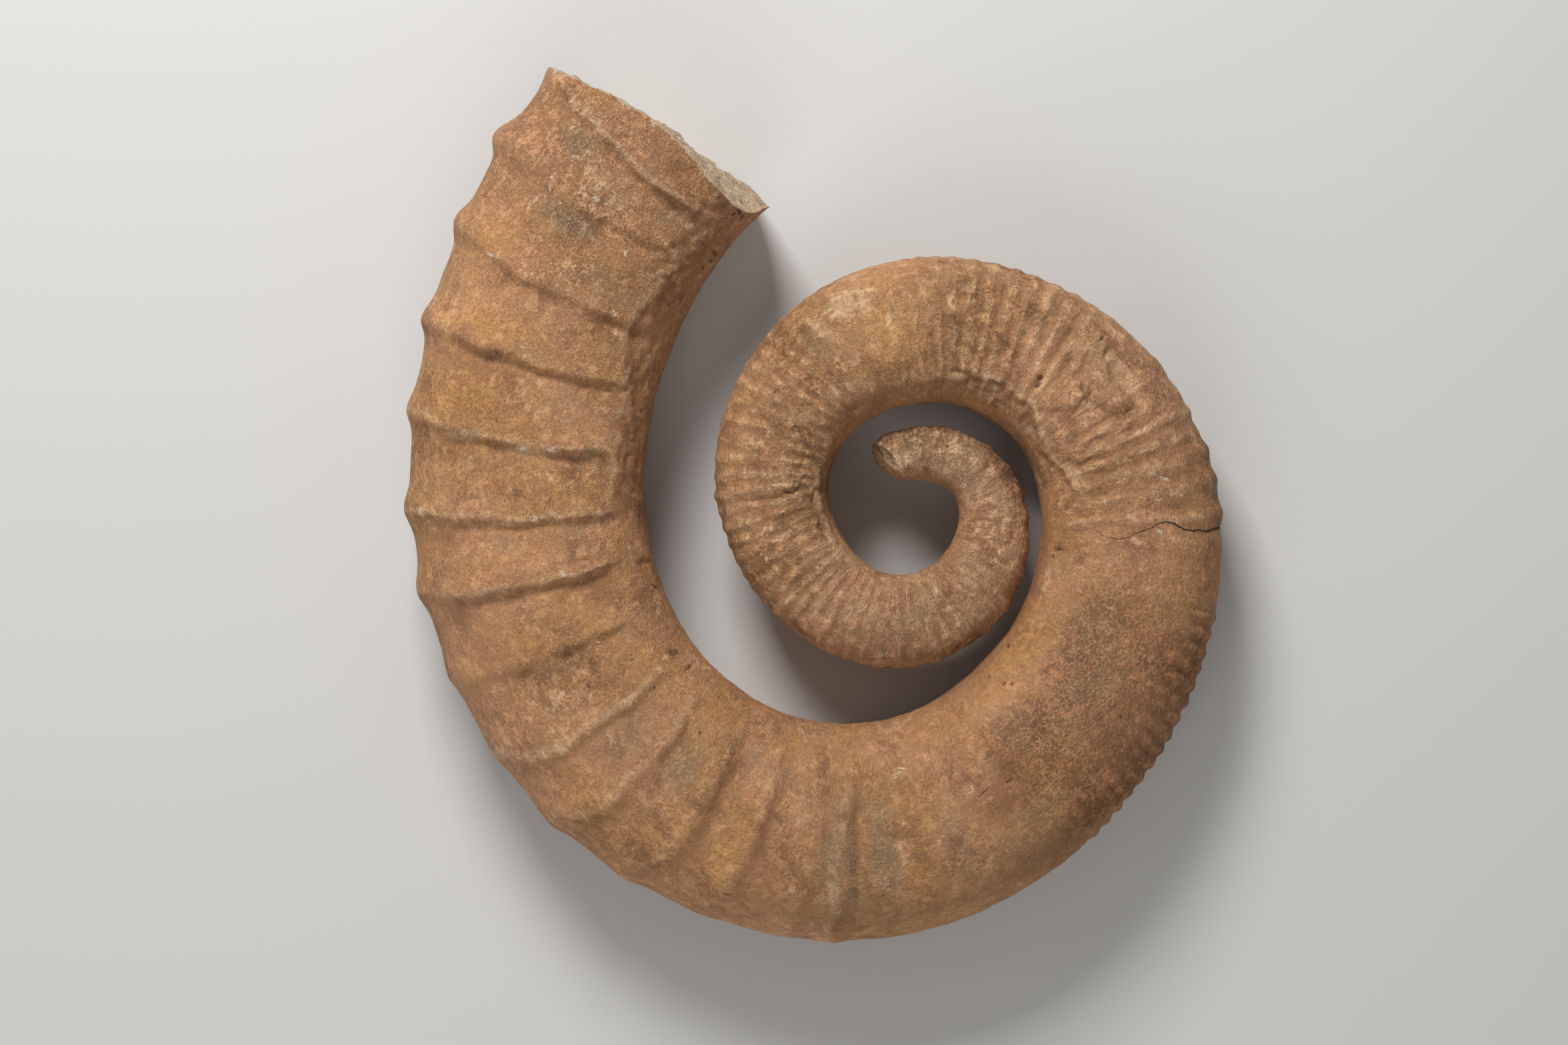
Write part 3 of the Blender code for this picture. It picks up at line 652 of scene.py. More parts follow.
    def lumps(self):
        """Gently hammered surface everywhere, rougher towards the mouth."""
        rough = along(self.s, LUMP_STRENGTH)
        total = 0.5 * cloud(self.straight, 36.0, 81) + 0.34 * cloud(self.straight, 17.0, 82)
        facets, _edge = scales(self.straight, 15.0, 86)
        total += 0.16 * rough * (facets - 0.5)
        return total + rough * (0.22 * cloud(self.straight, 8.0, 83) + 0.12 * cloud(self.straight, 4.2, 84))

    def breaks(self):
        """How far the broken faces stand out along the tube, rough and stepped."""
        depth = 1.0 - self.inner
        rough = clouds(self.straight * np.array((0.0, 1.0, 1.0)) + 40.0, 12.0, 91, 4, 0.65)
        step, _edge = scales(self.straight * np.array((0.0, 1.0, 1.0)) + 11.0, 17.0, 95)
        ridge = 1.0 - 2.2 * np.abs(cloud(self.straight * np.array((0.0, 1.0, 1.0)) + 5.0, 26.0, 97))
        mouth = (2.1 * rough + 1.8 * (step - 0.6) + 1.2 * ridge) * smooth_step(depth, 0.0, 0.12)
        facet, _edge = scales(self.straight * np.array((0.0, 1.0, 1.0)) + 3.0, 9.0, 98)
        tip = (0.35 * rough + 0.5 * (facet - 0.5)) * smooth_step(depth, 0.0, 0.15)
        at_mouth = self.s > CAGE_END / 2.0
        return np.where(at_mouth, mouth, -tip)

    def places(self):
        """Where every vertex lies, millimetres about the coil's centre."""
        fine = self.fine_ribs() + self.growth_lines() + self.notches() + self.flakes() + self.coarse_grain()
        fine += self.terraces()
        skin = fine + self.strong_ribs() + self.knobs() + self.ledge() + self.crack()
        skin = skin + self.dents() + self.lumps()
        outward = self.course.outward(self.true_s)
        up = np.array((0.0, 0.0, 1.0))
        facing = np.sign(self.true_reach) * np.abs(self.true_reach) ** (SQUARENESS - 1.0)
        normal = outward * (facing / self.height)[:, None]
        rising = np.sign(self.side) * np.abs(self.side) ** (SQUARENESS - 1.0)
        normal += up * (rising / self.breadth)[:, None]
        normal /= np.linalg.norm(normal, axis=-1, keepdims=True)
        points = self.course.middle(self.true_s)
        points += outward * self.across[:, None]
        points += up * self.above[:, None]
        points += normal * (skin * smooth_step(self.inner, 0.3, 1.0))[:, None]
        forward = np.stack((outward[:, 1], -outward[:, 0], np.zeros(len(self.s))), axis=-1)
        return points + forward * (self.breaks() * (self.inner < 1.0))[:, None]


# ---- Finish: shader maths --------------------------------------------------------------------
class Value:
    """A shader socket that takes part in sums; an expression adds its Math nodes."""

    def __init__(self, finish, socket):
        self.finish = finish
        self.socket = socket

    def _maths(self, operation, *terms):
        return self.finish.add("ShaderNodeMath", {"operation": operation}, dict(enumerate(terms)))

    def __add__(self, other):
        return self._maths("ADD", self, other)

    __radd__ = __add__

    def __sub__(self, other):
        return self._maths("SUBTRACT", self, other)

    def __rsub__(self, other):
        return self._maths("SUBTRACT", other, self)

    def __mul__(self, other):
        return self._maths("MULTIPLY", self, other)

    __rmul__ = __mul__

    def __truediv__(self, other):
        return self._maths("DIVIDE", self, other)

    def size(self):
        return self._maths("ABSOLUTE", self)

    def greater(self, other):
        return self._maths("MAXIMUM", self, other)

    def smaller(self, other):
        return self._maths("MINIMUM", self, other)

    def band(self, low, high):
        """0 below low, 1 above high, smooth between; falls where low is above high."""
        settings = {"interpolation_type": "SMOOTHSTEP"}
        links = {"Value": self, "From Min": min(low, high), "From Max": max(low, high)}
        links.update({"To Min": 0.0, "To Max": 1.0} if low < high else {"To Min": 1.0, "To Max": 0.0})
        return self.finish.add("ShaderNodeMapRange", settings, links)


class Finish:
    """A material and the one way in which nodes are added to it."""

    def __init__(self, name):
        self.material = bpy.data.materials.new(name)
        self.material.use_nodes = True
        self.tree = self.material.node_tree
        self.surface = self.tree.nodes["Principled BSDF"]

    def set(self, node, key, value):
        socket = node.inputs[key]
        if isinstance(value, Value):
            self.tree.links.new(value.socket, socket)
        else:
            socket.default_value = value

    def add(self, kind, settings, links, output=0):
        """Add a node of a kind, with its settings first and then its sockets' values or links."""
        node = self.tree.nodes.new(kind)
        for key, value in settings.items():
            setattr(node, key, value)
        for key, value in links.items():
            self.set(node, key, value)
        return Value(self, node.outputs[output])

    def attribute(self, name, output="Fac"):
        return self.add("ShaderNodeAttribute", {"attribute_name": name}, {}, output)

    def place(self, vector, scale=(1.0, 1.0, 1.0), shift=(0.0, 0.0, 0.0)):
        return self.add("ShaderNodeMapping", {}, {"Vector": vector, "Scale": scale, "Location": shift})

    def noise(self, vector, size, detail=2.0, rough=0.5, twist=0.0):
        """Noise about 0.5 whose wavelength is size, in the vector's own units."""
        links = {"Vector": vector, "Scale": 1.0 / size, "Detail": detail}
        links.update({"Roughness": rough, "Distortion": twist})
        return self.add("ShaderNodeTexNoise", {"noise_dimensions": "3D"}, links)

    def scaled(self, color, scale):
        return self.add("ShaderNodeVectorMath", {"operation": "SCALE"}, {0: color, "Scale": scale})

    def mix(self, share, first, second):
        """Mix two colours."""
        node = self.tree.nodes.new("ShaderNodeMix")
        node.data_type = "RGBA"
        self.set(node, 0, share)
        self.set(node, 6, first)
        self.set(node, 7, second)
        return Value(self, node.outputs[2])

    def bump(self, height, distance):
        return self.add("ShaderNodeBump", {}, {"Height": height, "Distance": distance, "Strength": 1.0})


# patches of colour on the upper flank: tone -> (s, reach, half length mm, half width mm, strength); the few
# that paint light and shade are marked below
PATCHES = {
    "grey": (
        (20, .2, 14, 9, .5), (52, .0, 30, 13, .6), (92, .2, 26, 13, .7), (78, .15, 22, 14, .5),
        (114, .3, 20, 14, .5), (130, .1, 28, 16, .6), (170, .1, 24, 18, .7),
        (381, .33, 1.6, 5, 1), (480, -.70, 12, 2.5, .9), (452, -.60, 12, 2.0, .8),
        (45, .60, 16, 8, .7), (62, .15, 9, 12, .6), (110, .15, 16, 9, .6), (150, .10, 22, 14, .5),
        (28, .1, 6, 8, .5),
        (190, .3, 16, 12, .3), (216, -.2, 10, 14, .3), (265, .1, 8, 12, .2), (316, .25, 7, 10, .5),
        (341, .28, 8, 12, .7),
        (349, .0, 6, 9, .5), (386, -.45, 5, 6, .5), (402, .75, 10, 7, .4), (429, -.7, 8, 5, .6),
        (452, .45, 5, 8, .3), (485, .55, 13, 11, .7), (494, .25, 6, 10, .5), (480, -.66, 16, 6, .6),
        (512, .1, 5, 10, .4),
        (504, -.45, 4, 4, .8), (577, -.22, 6, 3, .7), (625, -.25, 26, 16, .65), (650, -.02, 26, 12, .75),
        (716, .45, 14, 10, .6), (600, .35, 8, 14, .3), (592, -.75, 12, 5, .6),
        (690, .65, 9, 5, .5), (730, .62, 28, 14, .5), (692, -.32, 16, 11, .7), (752, .35, 7, 26, .7),
        (791, .0, 2.5, 26, .6), (818, .15, 2.5, 26, .7), (789, .25, 9, 30, 1), (803, .3, 2.5, 30, 1.4),
        (792, .2, 2, 28, 1.0), (818, .2, 2, 26, 1.0),
        (812, .2, 6, 40, .9), (800, -.25, 8, 10, .7), (826, -.25, 6, 8, .7), (845, -.42, 12, 6, .6),
        (868, -.52, 8, 5, .8),
        (873, -.05, 4, 12, .5), (902, -.10, 12, 14, 1), (906, .35, 8, 8, .4), (884, -.55, 8, 8, .6),
        (936, .0, 11, 20, .8),
        (922, -.35, 8, 6, .5), (947, -.1, 3, 20, .6), (985, .15, 6, 18, .8), (1000, -.05, 8, 12, .5),
        (1018, .8, 8, 5, .4),
        (1053, .28, 5, 8, .7), (1052, -.42, 9, 7, .6), (1031, .5, 2.5, 12, .7), (1090, .4, 6, 12, .3),
        (1128, -.25, 12, 9, .6),
        (1150, .1, 5, 14, .4), (1172, .0, 9, 20, .5), (1195, -.25, 11, 12, .8), (1219, .22, 7, 16, 1.4),
        (1253, .5, 8, 12, 1.0),
        (1200, -.55, 16, 7, .6), (1250, -.42, 10, 6, .7), (1240, .2, 8, 8, .4), (1165, -.45, 12, 7, .5),
        (985, -.55, 9, 5, .5),
        (1040, .7, 4, 8, .4), (1268, .5, 3, 9, .5), (1100, -.5, 6, 5, .8), (960, .6, 6, 6, .4),
    ),
    "rust_and_shade": (
        (118, .8, 34, 5, .5), (150, .85, 20, 5, .5), (160, .35, 26, 14, .6), (40, -.92, 25, 4, .5),
        (225, .75, 22, 6, .5),
        (262, .3, 2.5, 12, .8), (300, .72, 14, 7, .4), (253, -.1, 3, 18, .4), (340, -.70, 34, 7, .8),
        (330, -.3, 14, 9, .5),
        (429, .5, 2.2, 14, .8), (462, .30, 2.8, 20, 1), (468, .2, 2, 8, .6), (442, .3, 2, 20, .4),
        (540, .72, 14, 11, .6),
        (553, .5, 4, 14, .5), (543, .0, 3, 16, .5), (577, .72, 7, 14, .7), (522, .62, 4, 12, .5),
        # (600, -.98) and (690, -.98): painted shade along the inner edge beside the coil
        (640, .76, 32, 10, .7), (600, -.98, 44, 3.5, .9), (690, -.98, 40, 2.5, .7),
        (280, -.95, 30, 4, .6),
        (612, .4, 12, 22, .4), (648, .45, 18, 14, .7), (668, .62, 12, 20, 1), (664, .28, 10, 8, .7),
        (711, -.03, 9, 10, 1.3), (724, .03, 12, 4, 1.0),
        (725, .2, 13, 9, 1), (712, .85, 30, 8, .8), (620, .66, 18, 12, .8), (692, .45, 9, 10, .7),
        (756, .82, 14, 4, .6), (742, -.05, 6, 6, .4), (803, .35, 3, 28, .3),
        (800, .8, 20, 4, .5), (822, .45, 2.5, 26, .7), (849, .30, 4, 30, .9), (842, .6, 4, 16, .6),
        (877, .10, 4, 34, .9),
        (1006, .62, 18, 12, .6), (1024, .75, 6, 14, .9), (1014, -.48, 9, 9, .9), (1022, -.25, 4, 10, .7),
        (1059, .7, 5, 12, .8),
        (1098, .72, 5, 14, .7), (1050, -.15, 6, 14, .4), (1030, -.88, 30, 7, .5),
        (1085, -.85, 26, 8, .9), (1137, -.34, 3, 2, 1),
        (1128, -.42, 10, 2.5, .7), (1137, .55, 4, 30, .6), (1120, -.80, 34, 7, .6),
        (1160, -.78, 26, 7, .7), (1177, -.2, 3, 26, .7),
        (1215, -.56, 8, 4, 1), (1242, -.72, 26, 8, .8), (1248, .0, 8, 16, .5), (1225, .72, 5, 8, .5),
        (1259, .0, 3, 22, .7),
        (1272, -.25, 7, 12, .8), (1200, -.86, 24, 7, .7), (1276, -.7, 6, 8, .9), (930, .28, 2, 3, .5),
        (918, .1, 2.5, 16, .4),
        (576, -.55, 8, 4, .3), (690, -.85, 12, 6, .4), (488, .85, 7, 4, .4),
    ),
    "ochre": (
        (245, .62, 14, 8, .5), (275, .66, 14, 9, .7), (330, .66, 2.4, 9, 1), (305, .78, 20, 6, .6),
        (345, .82, 18, 6, .7),
        (374, -.15, 13, 32, .8), (390, .05, 8, 18, .5), (376, .75, 12, 8, .6), (560, .75, 5, 8, .4),
        (650, -.78, 44, 12, 1), (622, -.55, 14, 6, .7), (742, -.74, 20, 8, 1), (690, -.9, 40, 6, .7),
        (735, .32, 14, 10, .8),
        (769, .25, 10, 34, 1), (764, .85, 14, 6, .6), (766, -.3, 14, 12, .5), (784, .6, 5, 8, .5),
        (778, -.25, 10, 10, .6), (815, -.12, 2, 14, .8),
        (862, .35, 9, 36, 1), (850, -.70, 26, 8, .7), (805, -.62, 18, 6, .5), (890, .6, 10, 16, .6),
        (932, .62, 12, 14, .7),
        (905, -.75, 26, 10, .8), (955, -.58, 30, 16, .9), (1004, .3, 12, 30, .7),
        (1006, -.35, 12, 22, .7), (972, .5, 8, 12, .5),
        (1042, .55, 7, 26, .8), (1080, .2, 9, 26, .5), (1082, -.25, 14, 10, .8), (1045, -.45, 16, 7, .6),
        (1118, .6, 14, 24, 1),
        (1112, .1, 9, 20, .8), (1155, .45, 9, 36, 1), (1144, -.1, 2.5, 34, .6), (1175, .6, 8, 20, .7),
        (1196, .7, 12, 12, .7),
        (1214, .5, 8, 20, .6), (1150, -.5, 26, 6, .6), (1256, .78, 10, 6, .8), (1235, .75, 6, 8, .6),
        (1200, -.42, 10, 6, .4),
        (1268, -.5, 5, 8, .6), (1040, -.68, 40, 6, .5), (1100, -.7, 30, 5, .6),
    ),
    "pink": (
        (11, .65, 5, 5, .8), (69, .0, 2.8, 9, .9), (90, -.1, 8, 10, .3), (215, .2, 3, 12, .5),
        (240, -.15, 12, 12, .6),
        (299, .15, 6, 16, .5), (325, .45, 8, 8, .5), (322, -.35, 16, 10, .8), (352, .2, 4, 12, .5),
        (432, .0, 4, 16, .6),
        (447, .2, 5, 26, .7), (456, -.1, 4, 20, .6), (474, .0, 5, 16, .5), (505, .1, 6, 16, .5),
        (545, .3, 16, 22, .9), (566, .45, 9, 14, .7), (250, -.78, 26, 6, .7), (292, -.82, 24, 6, .6),
        (345, -.86, 24, 5, .5),
        (585, -.38, 28, 17, 1), (575, .2, 12, 14, .5), (555, -.65, 22, 6, .5), (640, .2, 14, 8, .3),
        (745, -.52, 46, 13, 1),
        (790, -.75, 34, 8, .6), (832, .55, 8, 15, 1), (832, .1, 9, 22, .6), (858, -.3, 12, 10, .4),
        (870, -.84, 24, 6, .5),
        (896, .3, 7, 10, .6), (925, .45, 5, 12, .5), (928, -.45, 14, 8, .9), (968, .25, 12, 34, .9),
        (960, -.35, 9, 12, .7),
        (1016, .4, 9, 22, .8), (1042, -.15, 9, 14, .7), (1046, -.35, 10, 8, .7), (1078, .5, 9, 24, .6),
        (1068, -.1, 6, 10, .4),
        (1110, -.25, 18, 12, .7), (1154, -.2, 9, 18, .7), (1165, .3, 8, 14, .4), (1192, .05, 12, 20, .7),
        (1184, -.45, 8, 9, .7),
        (1234, .15, 10, 26, .9), (1222, -.32, 12, 12, 1), (1246, -.1, 6, 10, .7), (1270, .15, 6, 14, .5),
        (1202, .35, 9, 8, .5),
        (1085, .8, 12, 6, .6), (890, -.3, 10, 6, .5),
    ),
    "pale": (
        (407, .45, 3, 2, 1), (413, .62, 3.4, 2.4, 1), (399, .3, 2, 4, 1), (404, .1, 4, 1.2, .8),
        (436, -.45, 4, 4, .9),
        # (0, .1, 5, 10, 2.0): painted light on the tip's broken face
        (10.5, -.25, 4.5, 9, 1.1), (12, -.8, 4, 3, .7), (0, .1, 5, 10, 2.0), (55, .40, 5, 7, .5),
        (85, -.30, 9, 8, .4), (135, -.62, 26, 5, .5), (235, -.86, 26, 4, .5),
        # (347, .53) and (363, .60): painted sheen highlights
        (347, .53, 4, 7, 1.1), (40, .35, 22, 8, .5), (85, .3, 24, 12, .5), (140, .35, 24, 14, .4),
        (375, .1, 14, 20, .5), (492, .05, 14, 14, .6), (376, .6, 10, 7, .6), (363, .60, 12, 9, 1.2),
        (332, .5, 2, 6, .5), (317, .45, 2, 5, .6), (269, -.02, 1.2, 7, .8),
        # (150, -.88), (215, -.86), (275, -.78), (375, -.66), (440, -.76) and (505, -.88): painted light on
        # the coil's inner side
        (406, .65, 8, 8, .3), (440, -.58, 8, 4, .7), (485, -.80, 40, 2.2, .7), (150, -.88, 36, 4, .8),
        (215, -.86, 34, 4.5, .9), (275, -.78, 28, 6, .8), (270, -.3, 26, 16, .6), (310, .1, 22, 24, .45),
        (240, .1, 20, 18, .4),
        (340, -.35, 22, 14, .6), (375, -.66, 22, 6, .6), (440, -.76, 24, 4, .6), (505, -.88, 22, 4, .6),
        (760, -.92, 50, 5, .5), (830, -.92, 40, 5, .6),
        (1085, -.1, 22, 22, .4), (1138, .18, 22, 18, .4), (1190, .05, 22, 22, .6),
        (1242, .08, 20, 24, .7), (968, .3, 12, 24, .6), (525, -.56, 9, 4, .8), (600, -.85, 17, 4, .7),
        (566, .36, 3, 6, .5), (774, -.50, 11, 3.5, .6), (750, -.52, 8, 6, .5), (828, -.08, 6, 3, .8),
        (951, .35, 3, 14, .6), (730, .07, 5, 1.2, .7), (761, .6, 1.3, 18, .9), (781, .3, 2.5, 24, .5),
        (951, -.2, 2.6, 22, .7), (890, .70, 5, 8, .4), (921, .5, 3, 14, .5), (994, .4, 2.5, 12, .4),
        (1034, .45, 4, 9, .5),
        (1028, .05, 3, 12, .6), (1062, .20, 2.5, 26, .7), (1066, .7, 2, 14, .7), (1104, .55, 2.6, 14, 1),
        (1098, .05, 3, 12, 1),
        (1146, .1, 4, 14, .5), (1150, .75, 5, 12, .5), (1160, .25, 4, 10, .4), (1183, .2, 3, 8, .4),
        (1265, .62, 2.2, 16, .8),
        (1261, .1, 2, 24, .7), (958, -.83, 6, 4, .5), (880, -.85, 16, 5, .5), (935, -.92, 30, 5, .6),
        (985, -.9, 24, 5, .6), (1040, -.86, 22, 5, .5), (1235, .2, 5, 6, .5), (1183, -.4, 4, 5, .6),
        (1214, -.38, 4, 5, .4), (860, .5, 5, 8, .3), (1120, -.02, 6, 4, .6), (668, -.7, 5, 4, .5),
        (680, -.75, 5, 4, .5),
    ),
}
FAR_FROM_MARK = 40.0
# small marks on the upper flank: kind -> (s, reach, half length mm, half width mm, turn in degrees)
MARKS = {
    "chip": (
        (1030.6, -.19, 2.6, 1.5, 20), (1028.2, -.27, 1.6, .8, 60), (1063, -.03, 2.2, 1.5, 40),
        (1100.3, -.19, 1.6, 3.2, 0),
        (1100, .06, 1.3, 3.4, 0), (988, -.27, 1.6, .7, 30), (1070, .88, 2.4, 1.2, 0),
        (1188.5, .68, .9, 3.6, -15),
        (1189.6, .62, 2.2, .8, 0), (1216, .58, 2.4, .8, 20), (1221, .56, 2.8, 1.1, -15),
        (1223.6, .50, 1.3, .6, 30),
        (1229, .5, 2.6, .7, 30), (1233, .52, 1.4, .6, -40), (1225, .37, 1.2, .7, 0),
        (1257, .62, 1.2, .9, 0), (1260.4, .60, .9, .7, 0),
        (1256.5, .57, .8, .6, 0), (1247, .46, .8, 2.6, 20), (1218, -.30, 2.6, .8, 25),
        (1183, -.42, 2.0, 1.3, 30), (1265, .5, .7, 3.0, 0),
        (1264, .4, 1.1, .8, 0), (1262, -.03, .6, 1.2, 0), (1261, -.4, .9, 1.4, 0),
        (1235, .13, 1.8, 2.2, 20), (1234, .22, 1.4, 1.2, 0),
        (538.4, .33, .8, 2.6, -35), (541.0, .42, .9, 3.4, -25), (548.6, .58, 2.2, .7, 35),
        (550.6, .32, .8, 2.2, 0), (565.4, .30, 1.2, 2.4, -20),
        (734.5, -.10, .5, 3.0, -20), (737.5, -.08, .5, 2.4, 25), (698.6, -.21, .7, .6, 0),
        (776.0, -.02, 1.4, 1.6, 0), (656.6, -.12, .5, 2.2, 0),
        (771, -.49, 5.0, .5, 10), (768, -.52, 4.2, .5, -14), (774, -.46, 3.2, .5, 20),
        (608, -.13, .6, 2.2, 10), (269, -.06, .5, 4.5, 5),
        (271.6, .82, .7, .7, 0), (217, -.24, .7, .7, 0), (161, -.75, .8, .7, 0), (153, -.72, .9, .6, 0),
        (144, -.70, .6, .5, 0),
        (500, -.18, .8, 1.2, 0), (527, .3, .5, 2.4, 10), (510, -.2, .5, 2.6, 0),
    ),
    "fleck": (
        (641.7, -.065, 2.6, .9, 20), (643.4, -.10, 1.8, 1.2, -30), (628, -.39, 1.1, 1.3, 0),
        (672, -.06, 1.6, .6, 10), (669, -.02, 1.2, .5, -20),
        (696, -.2, 1.8, .7, 30), (616, .24, 1.2, 1.6, 20), (620, .18, 1.8, .7, 40),
        (634, .22, 2.4, .5, -20), (641, .33, 2.8, .5, -25),
        (632, .12, .8, 1.6, 20), (651, .40, 2.0, .5, 30), (628, .32, 2.0, .5, 10),
        (646, .53, 2.4, .5, -10), (304, -.68, 1.1, .7, 0),
        (301, -.71, .8, .6, 0), (684, -.06, 1.3, .5, 0), (690, -.30, 1.5, .7, 0),
        (665, -.36, 1.0, .8, 0), (705, .10, 1.5, .5, 0),
        (1137, -.34, .9, .8, 0), (924.8, .28, .8, 1.5, 0), (1061, -.34, 1.4, .8, 0),
        (659, .12, 1.4, .5, 10), (672, .15, 2.6, .5, 5),
    ),
    "hole": (
        (35.0, .47, .5, 1.1, 0), (398, -.07, .9, .6, 20), (263.4, -.32, .7, 2.8, -15),
        (267, -.44, 2.8, .8, -20), (463.5, -.18, 1.5, 1.6, 20),
        (465.4, -.28, .8, 2.6, -10), (969, .0, 1.2, .8, 30), (968, -.45, .9, 1.0, 0),
        (971, -.47, .8, .6, 30), (676, -.64, 1.0, .7, 40),
        (679, -.7, 1.5, .5, 0), (682, -.85, 1.4, .4, 0), (656, -.92, 1.8, .6, 20), (857, .75, 1.8, .4, 5),
        (1288.5, .0, .7, 1.2, 0), (1286, -.28, .8, 1.4, 0), (1284, -.58, 1.0, 1.2, 0),
        (1283, -.70, 1.4, .9, 0), (1281, -.86, 2.2, 1.2, 20),
        (1276, -.84, 2.0, .9, 0), (1279, -.9, 1.8, .8, 0), (1247, -.93, 1.6, 1.2, 30),
        (1241, -.93, 1.2, .6, 0), (1234, -.92, .9, .5, 0),
        (583, -.87, 1.4, 1.0, 0), (578, -.83, 1.0, 1.6, 20), (533, -.78, .6, .5, 0),
        (541, -.82, .6, .5, 0), (655, .45, 1.0, .5, 40),
        (956, -.80, 1.6, 2.4, -30), (941, -.83, .8, 1.4, 20), (475.6, .72, .6, 1.5, 0),
        (1225.6, -.17, .9, .3, 5), (1228, -.22, .3, .8, 5), (1224, -.26, .7, .3, 30),
        (1229.6, -.19, .8, .3, -20),
        (1226.4, -.28, .3, .7, 0), (1230, -.28, .6, .3, 40), (1227, -.14, .4, .3, 0),
        (1223.4, -.21, .3, .5, 20),
        (906, -.46, .9, .7, 0), (946, -.47, .8, 1.0, 0), (730, .0, 3.0, .4, 10),
        (716, .05, 2.0, .5, -10), (1005, -.92, 3.2, .7, 25),
    ),
}
TONES = ("grey", "rust_and_shade", "ochre", "pink", "pale")
SHINE = 0.42
SCALE_DRIFT = 13.0              # how far the outlines of the thin scales wander, mm
CARVED_DEPTH = 0.0012           # metres of bump for one unit of the finish's height


def marks(finish, name, ragged):
    """1 on the small marks of a tone, 0 beside them."""
    place = finish.attribute(name, "Vector")
    far = finish.add("ShaderNodeVectorMath", {"operation": "LENGTH"}, {0: place}, "Value")
    return (far + ragged).band(1.2, 0.8)


def stone_finish(colors):
    """Weathered brown stone: cloudy tan, pink and ochre, grey and red-brown patches, pale rib crests, with
    painted highlights and shade on the relief, painted shade in the holes and the crack, and painted light on
    the inner side and the tip's broken face.
    """
    finish = Finish("fossil_stone_finish")
    straight = finish.attribute("straight", "Vector")
    tone = {name: finish.attribute(name) for name in TONES}
    crest = finish.attribute("crest")
    hollow = finish.attribute("hollow")
    from_break = finish.attribute("from_break")
    inner = finish.attribute("inner_side")
    rough_zone = finish.attribute("rough_zone")
    ribbed = finish.attribute("ribbed")
    weathered = finish.attribute("weathered")
    from_crack = finish.attribute("from_crack")
    crack_width = finish.attribute("crack_width").greater(0.001)

    wide = finish.noise(straight, 56.0, 2.0, 0.5)
    middle = finish.noise(finish.place(straight, shift=(31.0, 7.0, 3.0)), 21.0, 4.0, 0.62, 0.3)
    small = finish.noise(finish.place(straight, shift=(5.0, 51.0, 13.0)), 6.4, 5.0, 0.70, 0.2)
    grain = finish.noise(finish.place(straight, shift=(11.0, 3.0, 71.0)), 1.6, 3.0, 0.80)
    across = finish.noise(finish.place(straight, (1.0, 0.20, 0.20), (3.0, 9.0, 1.0)), 2.4, 4.0, 0.70, 0.25)
    longwise = finish.noise(finish.place(straight, (0.22, 1.0, 1.0), (1.0, 4.0, 9.0)), 2.8, 4.0, 0.70, 0.3)
    wisps = (finish.noise(finish.place(straight, shift=(9.0, 2.0, 7.0)), 15.0, 4.0, 0.66, 0.5) - 0.5).size()

    # one height field drives both the fine relief and the light and dark of the grain, partly the stone's own
    # tone and partly painted light and shade on the relief
    gritty = rough_zone * 1.6 + inner * 0.7 + weathered * 0.5 + 1.2
    height = (small - 0.5) * (rough_zone * 0.4 + ribbed * 0.35 + 0.6) + (grain - 0.5) * gritty
    height = height + (across - 0.5) * 0.85 * ribbed
    height = height + (longwise - 0.5) * 0.8 * inner
    # thin scales of stone, each a little higher or lower than the next, the higher ones lighter and the lower
    # ones darker, partly in tone and partly by painted light and shade
    drift = {"Vector": straight, "Scale": 0.22, "Detail": 4.0, "Roughness": 0.7}
    drift = finish.add("ShaderNodeTexNoise", {}, drift, "Color")
    bent = {0: drift, 1: (SCALE_DRIFT, SCALE_DRIFT, SCALE_DRIFT), 2: straight}
    bent = finish.add("ShaderNodeVectorMath", {"operation": "MULTIPLY_ADD"}, bent)
    cells = {"Vector": bent, "Scale": 0.28}
    thin_scales = finish.add("ShaderNodeTexVoronoi", {"feature": "F1"}, cells, "Color")
    height = height + (thin_scales.smaller(0.68) - 0.48) * (small.band(0.40, 0.58) * 0.55)
    pits = (small * 0.7 + grain * 0.5).band(0.48, 0.42) * middle.band(0.44, 0.56)
    height = height - pits * 0.12
    height = height * (weathered * 0.6 + 1.0)

    # cloudy ground
    color = finish.mix((wide + ribbed * 0.05).band(0.40, 0.60), tuple(colors.tan), tuple(colors.pink))
    color = finish.mix(middle.band(0.47, 0.62) * (0.50 - 0.28 * ribbed), color, tuple(colors.ochre))
    color = finish.mix(middle.band(0.45, 0.34) * 0.35, color, tuple(colors.rust_and_shade))
    dusty = (middle * 0.6 + small * 0.4).band(0.46, 0.55)
    color = finish.mix(dusty * ribbed * 0.34, color, tuple(colors.dust))
    veil = (small * 0.6 + middle * 0.5 + grain * 0.15).band(0.62, 0.50)
    color = finish.mix(veil * 0.16, color, tuple(colors.grey))
    color = finish.mix((small * 0.7 + grain * 0.3).band(0.52, 0.66) * 0.26, color, tuple(colors.pale))

    # placed patches, broken up by the clouds
    patches = (("ochre", 0.72, colors.ochre), ("pink", 0.68, colors.pink), ("rust_and_shade", 0.80, colors.rust_and_shade),
               ("grey", 0.84, colors.grey))
    speckle = (small - 0.5) * 1.7 + (grain - 0.5) * 3.6
    for name, depth, tint in patches:
        ragged = (tone[name] * 1.1 + speckle + (middle - 0.5) * 1.4).band(0.15, 1.5)
        if name == "grey":
            tint = finish.mix(grain.band(0.46, 0.58), tuple(colors.grey), tuple(colors.dust))
        else:
            tint = tuple(tint)
        color = finish.mix(ragged * depth, color, tint)
    ragged = (tone["pale"] + (small - 0.5) * 2.0 + (grain - 0.5) * 0.8).band(0.35, 1.0)
    color = finish.mix(ragged * 0.55, color, tuple(colors.pale))
